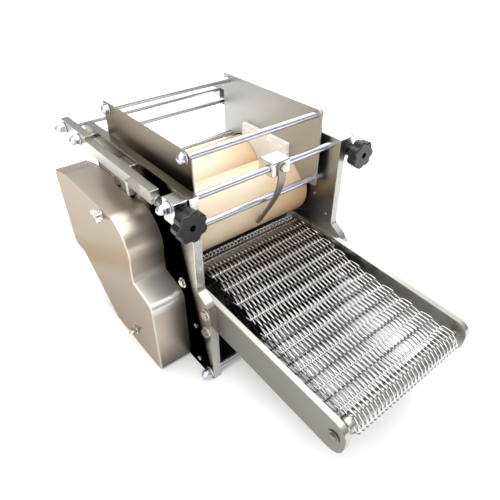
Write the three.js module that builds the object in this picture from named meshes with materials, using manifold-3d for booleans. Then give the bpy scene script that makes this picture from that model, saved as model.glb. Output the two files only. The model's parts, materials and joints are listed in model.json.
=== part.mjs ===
// Table-top dough sheeter: two nylon rollers in a plate frame, an open hopper above them, a covered
// gear train on the left and a wire-mesh outfeed conveyor in front.
// Millimetres. X runs along the rollers, +Y to the back, +Z up. The origin is on the floor, in the
// middle between the side plates, under the upper front edges of the plates.
// The rollers, the conveyor and everything above them hang from the plates' top edge, so a taller
// plate lifts them all; the base, the foot rod and the cover's lower edge stay at the floor.

import * as THREE from 'three';
import { mergeVertices } from 'three/addons/utils/BufferGeometryUtils.js';
import Module from 'manifold-3d';

const wasm = await Module();
wasm.setup();

// Clearances
const SEAT_GAP = 0.3;           // between pieces that touch
const RUNNING_GAP = 0.35;       // round a shaft that turns
const ROLLER_CLEARANCE = 1.5;   // from a roller to what is shaped round it
const SHAFT_PASSAGE = 2;        // round a drive shaft, through the side plate

// Allowances where pieces are fused or cut
const FUSE = 0.5;               // how far a head or nut reaches into what carries it
const OVERRUN = 1;              // how far a cutter passes the face that it opens

// Side plates
const INNER_WIDTH = 310;        // between the two inner faces
const PLATE_THICKNESS = 16;
const PLATE_HEIGHT = 379;
const PLATE_DEPTH = 339;        // from the upper front edge to the back edge
const HORN_LENGTH = 32;         // of the horn at the back of the top edge
const HORN_HEIGHT = 34;
const FOOT_REACH = 33.5;        // of the foot in front of the upper front edge
const FOOT_HEIGHT = PLATE_HEIGHT - 199;   // of the foot's vertical front edge
const FOOT_SLOPE = 19;          // height of the slope above it
const FOOT_BEND = 30;           // radius of the foot's upper front corner
const FOOT_HOLLOW = 6;          // radius where the slope meets the upper front edge
const HEAD_RATIO = 0.7;         // height of a hex head, of the radius over its corners
const WASHER_THICKNESS = 1.5;
const PLATE_BOLTS = [           // on the outer faces
  { y: 46, z: FOOT_HEIGHT + 9, radius: 7.5, washer: 10 },
  { y: -20, z: FOOT_HEIGHT - 63, radius: 9, washer: 11.5 },
  { y: 12, z: FOOT_HEIGHT - 71, radius: 5 },
  { y: 9, z: 23, radius: 5 },
  { y: 266, z: PLATE_HEIGHT - 69, radius: 6.5 },
  { y: 166, z: PLATE_HEIGHT - 69, radius: 6.5 },
];
const PLATE_SCREWS = [          // on the inner faces
  { y: 50, z: PLATE_HEIGHT - 130 },
  { y: 17.5, z: PLATE_HEIGHT - 165 },
];
const PLATE_SCREW_RADIUS = 3.2;
const PLATE_SCREW_HEIGHT = 1.8;

// Base plate
const BASE_THICKNESS = 4;
const BASE_FRONT = -13;
const BASE_BACK_INSET = 9;

// Rods, with a dome nut on each end
const ROD_RADIUS = 6;
const FOOT_ROD = { y: 9.5 - FOOT_REACH, z: 13.5 };
const FRONT_ROD = { y: 21.6, z: PLATE_HEIGHT - 14 };
const BACK_ROD = { y: 416, z: PLATE_HEIGHT - 18 };
const MIDDLE_ROD = { y: PLATE_DEPTH + 8, z: PLATE_HEIGHT - 19 };
const DOME_RADIUS = 10.2;       // over the corners of the nut's hex
const DOME_INSET = 1.5;         // from those corners in to the dome
const DOME_WASHER_LIP = 0.8;
const DOME_LENGTH = 20;
const DOME_HEX_SHARE = 0.42;    // of the nut's length
const HOPPER_DOME_LENGTH = 14;

// Rollers
const ROLLER_RADIUS = 62.5;
const ROLLER_END_GAP = 4;       // from a roller's end to the side plate
const ROLLER_CHAMFER = 1.5;
const NIP = 2;                  // between the two rollers at rest
const FRONT_AXIS = { y: 130.5, z: PLATE_HEIGHT - 135 };
const BACK_AXIS = { y: FRONT_AXIS.y + 2 * ROLLER_RADIUS + NIP, z: FRONT_AXIS.z };
const SHAFT_RADIUS = 12.5;
const SHAFT_END_RADIUS = 7;     // where a pinion sits
const SHAFT_END_PAST_GEAR = 2;  // length of a shaft or stud past its gear
const COLLAR_WALL = 5;
const COLLAR_WIDTH = 7;
const BUSHING_WALL = 4.5;
const BUSHING_FLANGE = 5;
const FLANGE_THICKNESS = 2.5;

// Front blocks, outside the side plates
const BLOCK_WIDTH = 23.7;
const BLOCK_FRONT = 4;
const BLOCK_DEPTH = 34;
const BLOCK_BOTTOM = PLATE_HEIGHT - 42;
const BLOCK_HEIGHT = 40;
const EDGE_ROUND = 2;           // upper edges of the blocks and bars

// Gap carriage: an outer bar and a hanger on each side, and two cross rods
const BAR_SLOT = 8;             // between side plate and bar
const BAR_WIDTH = 16;
const BAR_FRONT = 75;
const BAR_BACK = BACK_ROD.y + 18;
const BAR_BOTTOM = PLATE_HEIGHT - 35;
const BAR_HEIGHT = 23;
const BAR_STEP_Y = PLATE_DEPTH - 24;   // where the raised back part starts
const BAR_STEP_HEIGHT = 8;
const LUG_FRONT = 129;          // lug on the bar's outer face
const LUG_THICKNESS = 8;
const LUG_WIDTH = 11;
const LUG_DROP = 5;             // below the bar
const HANGER_THICKNESS = 7;
const HANGER_FRONT = BACK_AXIS.y - 79.5;
const HANGER_WIDTH = 42;
const HANGER_TOP_DROP = 3;      // below the bar's top
const HANGER_LOBE = 11;         // metal round the back roller's shaft
const HANGER_FOOT = 6;          // metal round the idler's stud
const GAP_CLOSING = 0.9;        // travel of the carriage from rest
const GAP_OPENING = 2;

// Gap screws and star knobs
const SCREW_RADIUS = 5;
const SCREW_Z = PLATE_HEIGHT - 27;
const SCREW_DEPTH_IN_BAR = 45;
const SCREW_END_PLAY = 2;
const KNOB_RADIUS = 27;
const KNOB_LOBES = 7;
const KNOB_LOBE_DEPTH = 4.6;
const KNOB_LOBE_SHARPNESS = 1.6;
const KNOB_THICKNESS = 20;
const KNOB_EDGE = 2;
const KNOB_RECESS = 8;          // from the knob's face to the screw's end in it
const KNOB_HUB_RADIUS = 12;
const KNOB_HUB_LENGTH = 15;
const NUT_RADIUS = 9.2;
const NUT_THICKNESS = 8;

// Hopper
const HOPPER_INSET = 14;        // from the side plate to the hopper plate
const HOPPER_SHEET = 3;
const HOPPER_FRONT = 36;
const HOPPER_BACK = PLATE_DEPTH - 8;
const HOPPER_TOP = PLATE_HEIGHT + 48;
const HOPPER_BOTTOM = FRONT_AXIS.z + 32;
const HOPPER_CORNER = 13;
const HOPPER_LOWER_CORNER = 5;
const UPPER_RODS = { front: 17, back: 18, drop: 11 };    // in from the hopper's edges
const LOWER_RODS = { front: 14.5, back: 21.5, rise: 20.5, frontRise: 11 };
const ROD_OVER_ROLLER = 5;      // least gap between a lower rod and a roller
const ROD_POCKET = 10;          // depth of a lower rod's seat in the side plate
const SPACER_RADIUS = 8.5;
const SEAL_THICKNESS = 9;
const SEAL_FRONT = FRONT_AXIS.y - 16.5;
const SEAL_BACK = BACK_AXIS.y - 2.5;
const SEAL_TOP = FRONT_AXIS.z + 97;
const SEAL_CORNER_Z = FRONT_AXIS.z + 69;
const SEAL_CORNER = 3;
const SEAL_SCREW_DROP = 14;     // below the seal's top
const SEAL_SCREWS = [SEAL_BACK - 19, SEAL_FRONT + 56, SEAL_FRONT + 20];
const SEAL_SCREW_RADIUS = 4;
const SEAL_SCREW_HEIGHT = 2;

// Scraper: a clamp block on the front rod and a bent arm that reaches the front roller
const CLAMP_WIDTH = 40;
const CLAMP_LEFT = 0;
const CLAMP_FRONT = FRONT_ROD.y - 10.6;
const CLAMP_DEPTH = 36;
const CLAMP_BOTTOM = FRONT_ROD.z - 14;
const CLAMP_HEIGHT = 27;
const CLAMP_UPPER_ROUND = 4;
const ARM_WIDTH = 18;
const ARM_TIP_WIDTH = 9;
const ARM_THICKNESS = 4;
const ARM_TOP_DROP = 2;         // below the clamp block's top
const ARM_STRAIGHT = 33;        // how far the arm runs on below the block before it bends
const ARM_SWEEP = { y: 37.8, z: 57.4 };   // from the tip, how the arm comes in to the roller
const ARM_TIP_LENGTH = 6;       // of the tip past where the arm meets the roller
const ARM_ANGLE = 198;          // where the arm's tip meets the roller, in degrees round its axis
const ARM_BOLT_RADIUS = 7;
const ARM_BOLT_HEIGHT = 6;

// Gears
const MODULE = 2;
const PRESSURE_ANGLE = 25;
const DEDENDUM = 1.25;          // of the module
const BACKLASH = 0.35;
const PINION_TEETH = 13;        // on both roller shafts
const MAIN_TEETH = 53;
const IDLER_TEETH = 15;
const MOTOR_TEETH = 20;
const WHEEL_TEETH = 50;
const CONVEYOR_TEETH = 12;
const GEAR_WIDTH = 10;
const GEAR_STANDOFF = 10;       // from the side plate to the first plane of gears
const PLANE_STEP = 13;          // from the first plane of gears to the second
const MESH_SPREAD = 1.2;        // extra centre distance that lets the carriage close
const STUD_RADIUS = 8;
const STUD_COLLAR = 5;
const STUD_PAST_GEAR = 4;

// Gear cover
const COVER_DEPTH = 68;
const COVER_SHEET = 1.5;
const COVER_EDGE = 4;           // bend round its face
const COVER_NOSE_RADIUS = 61.5;   // of the curve round the front pinion
const COVER_NOSE = { y: FRONT_AXIS.y + 31.5, z: FRONT_AXIS.z - 5.5 };
const COVER_BACK_REACH = 71;    // past the side plate's back edge
const COVER_BACK_FALL = 14;     // how far the top falls towards the back
const COVER_FALL_LENGTH = 62;
const COVER_HEEL_HEIGHT = FRONT_AXIS.z - 136;   // of the low edge behind the side plate
const COVER_HEEL_BACK = 14;     // from the low edge's end to the back
const COVER_HEEL_LENGTH = 49;
const COVER_TOE = 45;           // lower front edge
const COVER_SOLE = 180;         // length of the edge along the floor
const COVER_FLOOR_GAP = 1.5;
const COVER_TOE_BEND = 16;
const COVER_TOE_RISE = 10;      // of its upper corner, above the conveyor's drive axis
const COVER_LEDGE_RISE = 28;    // of the ledge's back end
const COVER_NOTCH_GAP = 1;      // round the hanger, beside the cover's rim
const COVER_NOTCH_DEPTH = 13;
const WING_STUD_RADIUS = 3;
const WING_STUDS = {
  upper: { y: COVER_NOSE.y + 24, z: COVER_NOSE.z + COVER_NOSE_RADIUS - 12 },
  lower: { y: COVER_TOE + 86, z: 45 },
};
const WING_HUB_RADIUS = 6;
const WING_HUB_LENGTH = 11;
const WING_WASHER_RADIUS = 9;
const WING_SPAN = 15;           // from the stud's middle to a wing's tip
const WING_THICKNESS = 4;

// Gear motor
const MOTOR_RADIUS = 37;
const MOTOR_LENGTH = 145;
const MOTOR_DROP = 40;          // from the output shaft to the motor's axis
const GEARBOX_LENGTH = 55;
const GEARBOX_HALF = 31;        // half its depth
const GEARBOX_RISE = 21;        // above the output shaft
const GEARBOX_CORNER = 10;
const MOTOR_SHAFT_SEAT = 18;    // length of the output shaft inside the gearbox
const BRACKET_SHEET = 5;
const BRACKET_FLANGE = 16;
const BRACKET_END = 20;         // from the bracket's end to the motor's

// Conveyor
const CONVEYOR_SLOPE = 2.87;    // degrees, rising towards the frame
const CONVEYOR_LENGTH = 398.5;  // between the two conveyor rollers
const DRIVE_AXIS = { y: FRONT_AXIS.y - 35.5, z: FRONT_AXIS.z - 88.5 };
const RAIL_THICKNESS = 11;
const RAIL_TOP = 30.6;          // above the conveyor rollers' axes
const RAIL_BOTTOM = 35.4;       // below them
const RAIL_NOSE = 20;           // ahead of the end roller's axis
const RAIL_NOSE_ROUND = { upper: 22, lower: 26 };
const RAIL_TAIL = 7;            // from the drive roller's axis to the middle of the rail's round end
const RAIL_BOLT_SETBACK = 10.5; // behind the foot's front edge
const RAIL_BOLT_RISE = 13.4;    // above the conveyor rollers' plane
const RAIL_BOLT_RADIUS = 4;
const RAIL_BOLT_DEPTH = 7;      // into the rail
const RAIL_BOLT_HEAD = 9;
const RAIL_BOLT_WASHER = 11;
const BELT_EDGE_GAP = 16.7;     // from the belt's edge to a rail
const BELT_THICKNESS = 7.2;     // over the flattened spirals
const BELT_SEAT = 0.4;          // from a conveyor roller to the belt
const BELT_ROLLER_RADIUS = 13.6;
const BELT_ROLLER_OVERHANG = 4; // past the belt's edges
const BELT_GAPS_ACROSS = 10;
const BELT_GAP_ROWS = 16;
const BELT_STRAND = 5;          // width of the strands between two gaps
const AXLE_RADIUS = 6;
const AXLE_RING_RADIUS = 11;    // ring and head on the end roller's axle, outside the rails
const AXLE_RING_THICKNESS = 1.5;
const AXLE_HEAD_RADIUS = 7;
const AXLE_HEAD_LENGTH = 4.5;

// Derived places
const radians = THREE.MathUtils.degToRad;
const plateInner = INNER_WIDTH / 2;
const plateOuter = plateInner + PLATE_THICKNESS;
const gearPlane = plateOuter + GEAR_STANDOFF;
const wheelPlane = gearPlane + PLANE_STEP;
const blockOuter = plateOuter + SEAT_GAP + BLOCK_WIDTH;
const barInner = plateOuter + BAR_SLOT;
const barOuter = barInner + BAR_WIDTH;
const barMiddle = (barInner + barOuter) / 2;
const barTop = BAR_BOTTOM + BAR_HEIGHT;
const hangerOuter = barInner - SEAT_GAP;
const hopperOuter = plateInner - HOPPER_INSET;
const hopperInner = hopperOuter - HOPPER_SHEET;
const rollerEnd = plateInner - ROLLER_END_GAP;
const shaftHole = SHAFT_RADIUS + RUNNING_GAP;
const bushingRadius = SHAFT_RADIUS + BUSHING_WALL;
const rodHole = ROD_RADIUS + SEAT_GAP;
const screwHole = SCREW_RADIUS + RUNNING_GAP;
const coverFace = -plateOuter - COVER_DEPTH;
const coverTop = COVER_NOSE.z + COVER_NOSE_RADIUS;
const coverBack = PLATE_DEPTH + COVER_BACK_REACH;
const armTop = CLAMP_BOTTOM + CLAMP_HEIGHT - ARM_TOP_DROP;
const beltHalf = plateInner - SEAT_GAP - RAIL_THICKNESS - BELT_EDGE_GAP;
const END_AXIS = {
  y: DRIVE_AXIS.y - CONVEYOR_LENGTH * Math.cos(radians(CONVEYOR_SLOPE)),
  z: DRIVE_AXIS.z - CONVEYOR_LENGTH * Math.sin(radians(CONVEYOR_SLOPE)),
};
const RAIL_BOLT = (() => {
  const y = RAIL_BOLT_SETBACK - FOOT_REACH;
  const fall = (DRIVE_AXIS.y - y) * Math.tan(radians(CONVEYOR_SLOPE));
  return { y, z: DRIVE_AXIS.z - fall + RAIL_BOLT_RISE };
})();

// Hopper rods: two between the hopper plates near their top, two through them near the rollers
const hopperRods = {
  back_upper: { y: HOPPER_BACK - UPPER_RODS.back, z: HOPPER_TOP - UPPER_RODS.drop },
  front_upper: { y: HOPPER_FRONT + UPPER_RODS.front, z: HOPPER_TOP - UPPER_RODS.drop },
  back_lower: lowerRod(HOPPER_BACK - LOWER_RODS.back, LOWER_RODS.rise, BACK_AXIS),
  front_lower: lowerRod(HOPPER_FRONT + LOWER_RODS.front, LOWER_RODS.frontRise, FRONT_AXIS),
};

// A lower rod's place, clear of the roller beside it
function lowerRod(y, rise, axis) {
  const reach = ROLLER_RADIUS + ROD_OVER_ROLLER + ROD_RADIUS;
  const across = Math.min(Math.abs(y - axis.y), reach);
  const overRoller = axis.z + Math.sqrt(reach ** 2 - across ** 2);
  return { y, z: Math.max(HOPPER_BOTTOM + rise, overRoller), reachesPlate: true };
}

// Colours
const looks = {
  steel: { color: 0xa9a298, roughness: 0.38, metalness: 0.9 },
  brushed: { color: 0xb9b1a2, roughness: 0.45, metalness: 0.85 },
  polished: { color: 0xd9d9d6, roughness: 0.18, metalness: 0.95 },
  nylon: { color: 0xe8d2a8, roughness: 0.5, metalness: 0 },
  white: { color: 0xecebe6, roughness: 0.5, metalness: 0 },
  black: { color: 0x1b1b1c, roughness: 0.45, metalness: 0 },
  dark: { color: 0x4b4b4a, roughness: 0.5, metalness: 0.5 },
  bronze: { color: 0xb0894f, roughness: 0.4, metalness: 0.9 },
  enamel: { color: 0x53606a, roughness: 0.5, metalness: 0.2 },
};

const machine = new THREE.Group();

// Shape helpers

function arc(u, v, radius, from, to, steps) {
  return Array.from({ length: steps + 1 }, (_, i) => {
    const angle = radians(from + (to - from) * i / steps);
    return new THREE.Vector2(u + radius * Math.cos(angle), v + radius * Math.sin(angle));
  });
}

function circle(u, v, radius, steps = 12) {
  return arc(u, v, radius, 0, 360, steps).slice(0, -1);
}

// Obround along u, with its end centres at u0 and u1
function slot(u0, u1, v, radius, steps = 6) {
  return [...arc(u1, v, radius, -90, 90, steps), ...arc(u0, v, radius, 90, 270, steps)];
}

// Corner list [u, v, radius] as points, each corner with a radius turned into an arc
function rounded(corners, steps = 4) {
  return corners.flatMap(([u, v, radius = 0], i) => {
    const corner = new THREE.Vector2(u, v);
    if (!radius) return [corner];
    const before = corners[(i + corners.length - 1) % corners.length];
    const after = corners[(i + 1) % corners.length];
    const a = new THREE.Vector2(before[0] - u, before[1] - v).normalize();
    const b = new THREE.Vector2(after[0] - u, after[1] - v).normalize();
    const half = Math.acos(THREE.MathUtils.clamp(a.dot(b), -1, 1)) / 2;
    const centre = a.clone().add(b).normalize().multiplyScalar(radius / Math.sin(half)).add(corner);
    const first = a.multiplyScalar(radius / Math.tan(half)).add(corner).sub(centre);
    const last = b.multiplyScalar(radius / Math.tan(half)).add(corner).sub(centre);
    const turn = Math.atan2(first.cross(last), first.dot(last));
    return Array.from({ length: steps + 1 }, (_, k) =>
      first.clone().rotateAround(new THREE.Vector2(), turn * k / steps).add(centre));
  });
}

function shapeOf(outline, holes = []) {
  const shape = new THREE.Shape(outline);
  shape.holes = holes.map((hole) => new THREE.Path(hole));
  return shape;
}

// A (y, z) shape pushed along X from x0 to x1
function alongX(shape, x0, x1, bevel = {}) {
  const geometry = new THREE.ExtrudeGeometry(shape, { depth: x1 - x0, bevelEnabled: false, ...bevel });
  const basis = new THREE.Matrix4().makeBasis(
    new THREE.Vector3(0, 1, 0), new THREE.Vector3(0, 0, 1), new THREE.Vector3(1, 0, 0));
  return geometry.applyMatrix4(basis).translate(x0, 0, 0);
}

// An (x, z) shape pushed along Y from y0 to y1
function alongY(shape, y0, y1, bevel = {}) {
  const geometry = new THREE.ExtrudeGeometry(shape, { depth: y1 - y0, bevelEnabled: false, ...bevel });
  return geometry.rotateX(Math.PI / 2).translate(0, y1, 0);
}

function rodX(place, radius, x0, x1, steps = 12) {
  return alongX(shapeOf(circle(place.y, place.z, radius, steps)), x0, x1);
}

function rodY(x, z, radius, y0, y1, steps = 12) {
  return alongY(shapeOf(circle(x, z, radius, steps)), y0, y1);
}

function box(x0, x1, y0, y1, z0, z1) {
  return new THREE.BoxGeometry(x1 - x0, y1 - y0, z1 - z0)
    .translate((x0 + x1) / 2, (y0 + y1) / 2, (z0 + z1) / 2);
}

// Solid of revolution about an X line; the profile is [x, radius] and closes on itself
function turned(profile, place, steps = 32) {
  const points = [...profile, profile[0]].map(([x, radius]) => new THREE.Vector2(radius, x));
  return outward(new THREE.LatheGeometry(points, steps).rotateZ(-Math.PI / 2)
    .translate(0, place.y, place.z));
}

function bare(geometry) {
  const copy = geometry.clone();
  copy.deleteAttribute('normal');
  copy.deleteAttribute('uv');
  return mergeVertices(copy, 1e-4);
}

// The same closed surface with its faces pointing out
function outward(geometry) {
  const merged = bare(geometry);
  const { array } = merged.attributes.position;
  const corners = merged.index.array;
  const corner = (i) => new THREE.Vector3().fromArray(array, 3 * corners[i]);
  let volume = 0;
  for (let i = 0; i < corners.length; i += 3) {
    volume += corner(i).dot(corner(i + 1).cross(corner(i + 2)));
  }
  if (volume < 0) {
    for (let i = 0; i < corners.length; i += 3) {
      [corners[i], corners[i + 1]] = [corners[i + 1], corners[i]];
    }
  }
  return merged;
}

function solidOf(geometry) {
  const merged = outward(geometry);
  return new wasm.Manifold(new wasm.Mesh({
    numProp: 3,
    vertProperties: Float32Array.from(merged.attributes.position.array),
    triVerts: Uint32Array.from(merged.index.array),
  }));
}

function geometryOf(solid) {
  const mesh = solid.getMesh();
  const geometry = new THREE.BufferGeometry();
  geometry.setAttribute('position', new THREE.BufferAttribute(mesh.vertProperties, 3));
  geometry.setIndex(new THREE.BufferAttribute(mesh.triVerts, 1));
  return geometry;
}

function cut(geometry, ...tools) {
  return geometryOf(tools.reduce((rest, tool) => rest.subtract(solidOf(tool)), solidOf(geometry)));
}

function joined(...pieces) {
  return geometryOf(pieces.map(solidOf).reduce((sum, piece) => sum.add(piece)));
}

// The same piece on the other side of the middle plane
function mirrored(geometry) {
  return outward(geometry.clone().scale(-1, 1, 1));
}

function add(name, geometry, look, parent = machine) {
  const flat = geometry.index ? geometry.toNonIndexed() : geometry;
  flat.computeVertexNormals();
  const mesh = new THREE.Mesh(flat, new THREE.MeshStandardMaterial(looks[look]));
  mesh.name = name;
  parent.add(mesh);
  return mesh;
}

function addPair(name, rightPiece, look, parent = machine) {
  add(`${name}_left`, mirrored(rightPiece), look, parent);
  add(`${name}_right`, rightPiece, look, parent);
}

// Fasteners that point along +X from a face at x, and a rod with a dome nut on both ends

function domeNut(x, place, length) {
  const hexEnd = x + length * DOME_HEX_SHARE;
  const washer = rodX(place, DOME_RADIUS + DOME_WASHER_LIP, x, x + WASHER_THICKNESS, 10);
  const hex = rodX(place, DOME_RADIUS, x + WASHER_THICKNESS - FUSE, hexEnd, 6);
  const domeRadius = DOME_RADIUS - DOME_INSET;
  const rim = Array.from({ length: 4 }, (_, i) => {
    const angle = radians(90 * i / 3);
    return [hexEnd + (x + length - hexEnd) * Math.sin(angle), domeRadius * Math.cos(angle)];
  });
  const dome = turned([[hexEnd - FUSE, 0], [hexEnd - FUSE, domeRadius], ...rim.slice(0, -1),
    [x + length, 0]], place, 8);
  return joined(washer, hex, dome);
}

function rodWithNuts(place, face, length = DOME_LENGTH) {
  const nut = domeNut(face + SEAT_GAP, place, length);
  const end = face + WASHER_THICKNESS;
  return joined(rodX(place, ROD_RADIUS, -end, end), nut, mirrored(nut));
}

function hexHead(x, place, radius, washer = 0) {
  const head = rodX(place, radius, x, x + radius * HEAD_RATIO, 6);
  return washer ? joined(head, rodX(place, washer, x, x + WASHER_THICKNESS, 12)) : head;
}

// Side plates and what ties them together

function sidePlate() {
  const outline = rounded([
    [-FOOT_REACH, 0], [PLATE_DEPTH, 0], [PLATE_DEPTH, PLATE_HEIGHT - HORN_HEIGHT],
    [PLATE_DEPTH + HORN_LENGTH, PLATE_HEIGHT - HORN_HEIGHT], [PLATE_DEPTH + HORN_LENGTH, PLATE_HEIGHT],
    [0, PLATE_HEIGHT], [0, FOOT_HEIGHT + FOOT_SLOPE, FOOT_HOLLOW], [-FOOT_REACH, FOOT_HEIGHT, FOOT_BEND],
  ]);
  const rodSlot = slot(MIDDLE_ROD.y - GAP_CLOSING, MIDDLE_ROD.y + GAP_OPENING, MIDDLE_ROD.z,
    ROD_RADIUS + RUNNING_GAP);
  const shaftSlot = slot(BACK_AXIS.y - GAP_CLOSING, BACK_AXIS.y + GAP_OPENING, BACK_AXIS.z,
    SHAFT_RADIUS + ROLLER_CLEARANCE);
  const bushingHole = circle(FRONT_AXIS.y, FRONT_AXIS.z, bushingRadius + SEAT_GAP, 20);
  const holes = [rodSlot, shaftSlot, bushingHole,
    circle(RAIL_BOLT.y, RAIL_BOLT.z, RAIL_BOLT_RADIUS + SEAT_GAP),
    circle(FRONT_ROD.y, FRONT_ROD.z, rodHole), circle(FOOT_ROD.y, FOOT_ROD.z, rodHole)];
  const pockets = Object.values(hopperRods).filter((rod) => rod.reachesPlate)
    .map((rod) => rodX(rod, rodHole, plateInner - OVERRUN, plateInner + ROD_POCKET));
  const bolts = PLATE_BOLTS.map((bolt) => hexHead(plateOuter - FUSE, bolt, bolt.radius, bolt.washer));
  const screws = PLATE_SCREWS.map((screw) =>
    rodX(screw, PLATE_SCREW_RADIUS, plateInner - PLATE_SCREW_HEIGHT, plateInner + FUSE, 10));
  const plate = alongX(shapeOf(outline, holes), plateInner, plateOuter);
  return cut(joined(plate, ...bolts, ...screws), ...pockets);
}

// Shafts of the drive that pass through the left side plate
function leftPlateWithShaftHoles(drive) {
  const holes = [drive.motor, DRIVE_AXIS]
    .map((place) => rodX(place, STUD_RADIUS + SHAFT_PASSAGE, -plateOuter - OVERRUN, OVERRUN - plateInner));
  return cut(mirrored(sidePlate()), ...holes);
}

function frontBlock() {
  const back = BLOCK_FRONT + BLOCK_DEPTH;
  const top = BLOCK_BOTTOM + BLOCK_HEIGHT;
  const outline = rounded([[BLOCK_FRONT, BLOCK_BOTTOM], [back, BLOCK_BOTTOM], [back, top, EDGE_ROUND],
    [BLOCK_FRONT, top, EDGE_ROUND]], 2);
  return cut(alongX(shapeOf(outline), plateOuter + SEAT_GAP, blockOuter),
    rodX(FRONT_ROD, rodHole, plateOuter, blockOuter + OVERRUN),
    rodY(barMiddle, SCREW_Z, screwHole, BLOCK_FRONT - OVERRUN, back + OVERRUN));
}

// Bolt through the side plate into the conveyor rail
function railBolt() {
  const face = plateOuter + SEAT_GAP;
  const shank = rodX(RAIL_BOLT, RAIL_BOLT_RADIUS, plateInner - RAIL_BOLT_DEPTH, face + FUSE);
  return joined(hexHead(face, RAIL_BOLT, RAIL_BOLT_HEAD, RAIL_BOLT_WASHER), shank);
}

// Flanged bushing of the front roller, with its flange against the plate's inner face
function bushing() {
  const flange = plateInner - SEAT_GAP;
  return turned([
    [flange - FLANGE_THICKNESS, shaftHole], [flange - FLANGE_THICKNESS, bushingRadius + BUSHING_FLANGE],
    [flange, bushingRadius + BUSHING_FLANGE], [flange, bushingRadius], [plateOuter, bushingRadius],
    [plateOuter, shaftHole],
  ], FRONT_AXIS, 18);
}

// Gap carriage

function outerBar() {
  const raised = barTop + BAR_STEP_HEIGHT;
  const bar = alongX(shapeOf(rounded([
    [BAR_FRONT, BAR_BOTTOM], [BAR_BACK, BAR_BOTTOM], [BAR_BACK, raised, EDGE_ROUND],
    [BAR_STEP_Y, raised, EDGE_ROUND], [BAR_STEP_Y, barTop], [BAR_FRONT, barTop, EDGE_ROUND],
  ], 2)), barInner, barOuter);
  const rodHoles = [BACK_ROD, MIDDLE_ROD]
    .map((rod) => rodX(rod, rodHole, barInner - OVERRUN, barOuter + OVERRUN));
  const nutFront = BAR_FRONT - NUT_THICKNESS;
  const screwBore = rodY(barMiddle, SCREW_Z, screwHole, nutFront - OVERRUN, BAR_FRONT + SCREW_DEPTH_IN_BAR);
  const lockNut = rodY(barMiddle, SCREW_Z, NUT_RADIUS, nutFront, BAR_FRONT + FUSE, 6);
  const lugOuter = barOuter + LUG_WIDTH;
  const lug = alongY(shapeOf(rounded([
    [barOuter - FUSE, BAR_BOTTOM - LUG_DROP], [lugOuter, BAR_BOTTOM - LUG_DROP],
    [lugOuter, barTop, LUG_WIDTH / 2], [barOuter - FUSE, barTop],
  ])), LUG_FRONT, LUG_FRONT + LUG_THICKNESS);
  return cut(joined(bar, lockNut, lug), ...rodHoles, screwBore);
}

// Plate welded to the bar's inner face; its lower end holds the back roller's shaft and the idler
function hanger(drive) {
  const lobe = SHAFT_RADIUS + HANGER_LOBE;
  const foot = STUD_RADIUS + HANGER_FOOT;
  const top = barTop - HANGER_TOP_DROP;
  const elbow = BAR_BOTTOM - 26;
  const outline = [
    ...rounded([
      [HANGER_FRONT + HANGER_WIDTH, top, 3], [HANGER_FRONT, top, 3], [HANGER_FRONT, elbow, 22],
      [BACK_AXIS.y - lobe - 12, BACK_AXIS.z + 22, 16], [BACK_AXIS.y - lobe, BACK_AXIS.z + 3, 10],
    ]).slice(0, -1),
    ...arc(BACK_AXIS.y, BACK_AXIS.z, lobe, 180, 205, 2),
    ...arc(drive.idler.y, drive.idler.z, foot, 195, 345, 8),
    ...arc(BACK_AXIS.y, BACK_AXIS.z, lobe, -25, 75, 8),
    new THREE.Vector2(HANGER_FRONT + HANGER_WIDTH + 4, elbow - 12),
  ];
  const holes = [circle(BACK_AXIS.y, BACK_AXIS.z, shaftHole, 18),
    circle(drive.idler.y, drive.idler.z, STUD_RADIUS + SEAT_GAP)];
  return alongX(shapeOf(outline, holes), hangerOuter - HANGER_THICKNESS, hangerOuter);
}

// Knobs and screws

function starKnob() {
  const count = KNOB_LOBES * 5;
  const lobes = Array.from({ length: count }, (_, i) => {
    const angle = 2 * Math.PI * i / count;
    const hollow = (0.5 - 0.5 * Math.cos(KNOB_LOBES * angle)) ** KNOB_LOBE_SHARPNESS;
    const radius = KNOB_RADIUS - KNOB_EDGE - KNOB_LOBE_DEPTH * hollow;
    return new THREE.Vector2(barMiddle + radius * Math.cos(angle), SCREW_Z + radius * Math.sin(angle));
  });
  const back = BLOCK_FRONT - SEAT_GAP - KNOB_HUB_LENGTH;
  const front = back - KNOB_THICKNESS;
  const head = alongY(shapeOf(lobes), front + KNOB_EDGE, back - KNOB_EDGE,
    { bevelEnabled: true, bevelThickness: KNOB_EDGE, bevelSize: KNOB_EDGE, bevelSegments: 1 });
  const hub = rodY(barMiddle, SCREW_Z, KNOB_HUB_RADIUS, back - FUSE, BLOCK_FRONT - SEAT_GAP);
  const bore = rodY(barMiddle, SCREW_Z, SCREW_RADIUS + SEAT_GAP, front - OVERRUN, BLOCK_FRONT);
  return cut(joined(head, hub), bore);
}

function gapScrew() {
  const front = BLOCK_FRONT - SEAT_GAP - KNOB_HUB_LENGTH - KNOB_THICKNESS + KNOB_RECESS;
  const back = BAR_FRONT + SCREW_DEPTH_IN_BAR - GAP_CLOSING - SCREW_END_PLAY;
  const nutFront = BLOCK_FRONT + BLOCK_DEPTH + SEAT_GAP;
  return joined(rodY(barMiddle, SCREW_Z, SCREW_RADIUS, front, back),
    rodY(barMiddle, SCREW_Z, NUT_RADIUS, nutFront, nutFront + NUT_THICKNESS, 6));
}

// Rollers

function roller(axis) {
  const bore = SHAFT_RADIUS + SEAT_GAP;
  const rim = ROLLER_RADIUS - ROLLER_CHAMFER;
  return turned([
    [-rollerEnd, bore], [-rollerEnd, rim], [ROLLER_CHAMFER - rollerEnd, ROLLER_RADIUS],
    [rollerEnd - ROLLER_CHAMFER, ROLLER_RADIUS], [rollerEnd, rim], [rollerEnd, bore],
  ], axis, 32);
}

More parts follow.
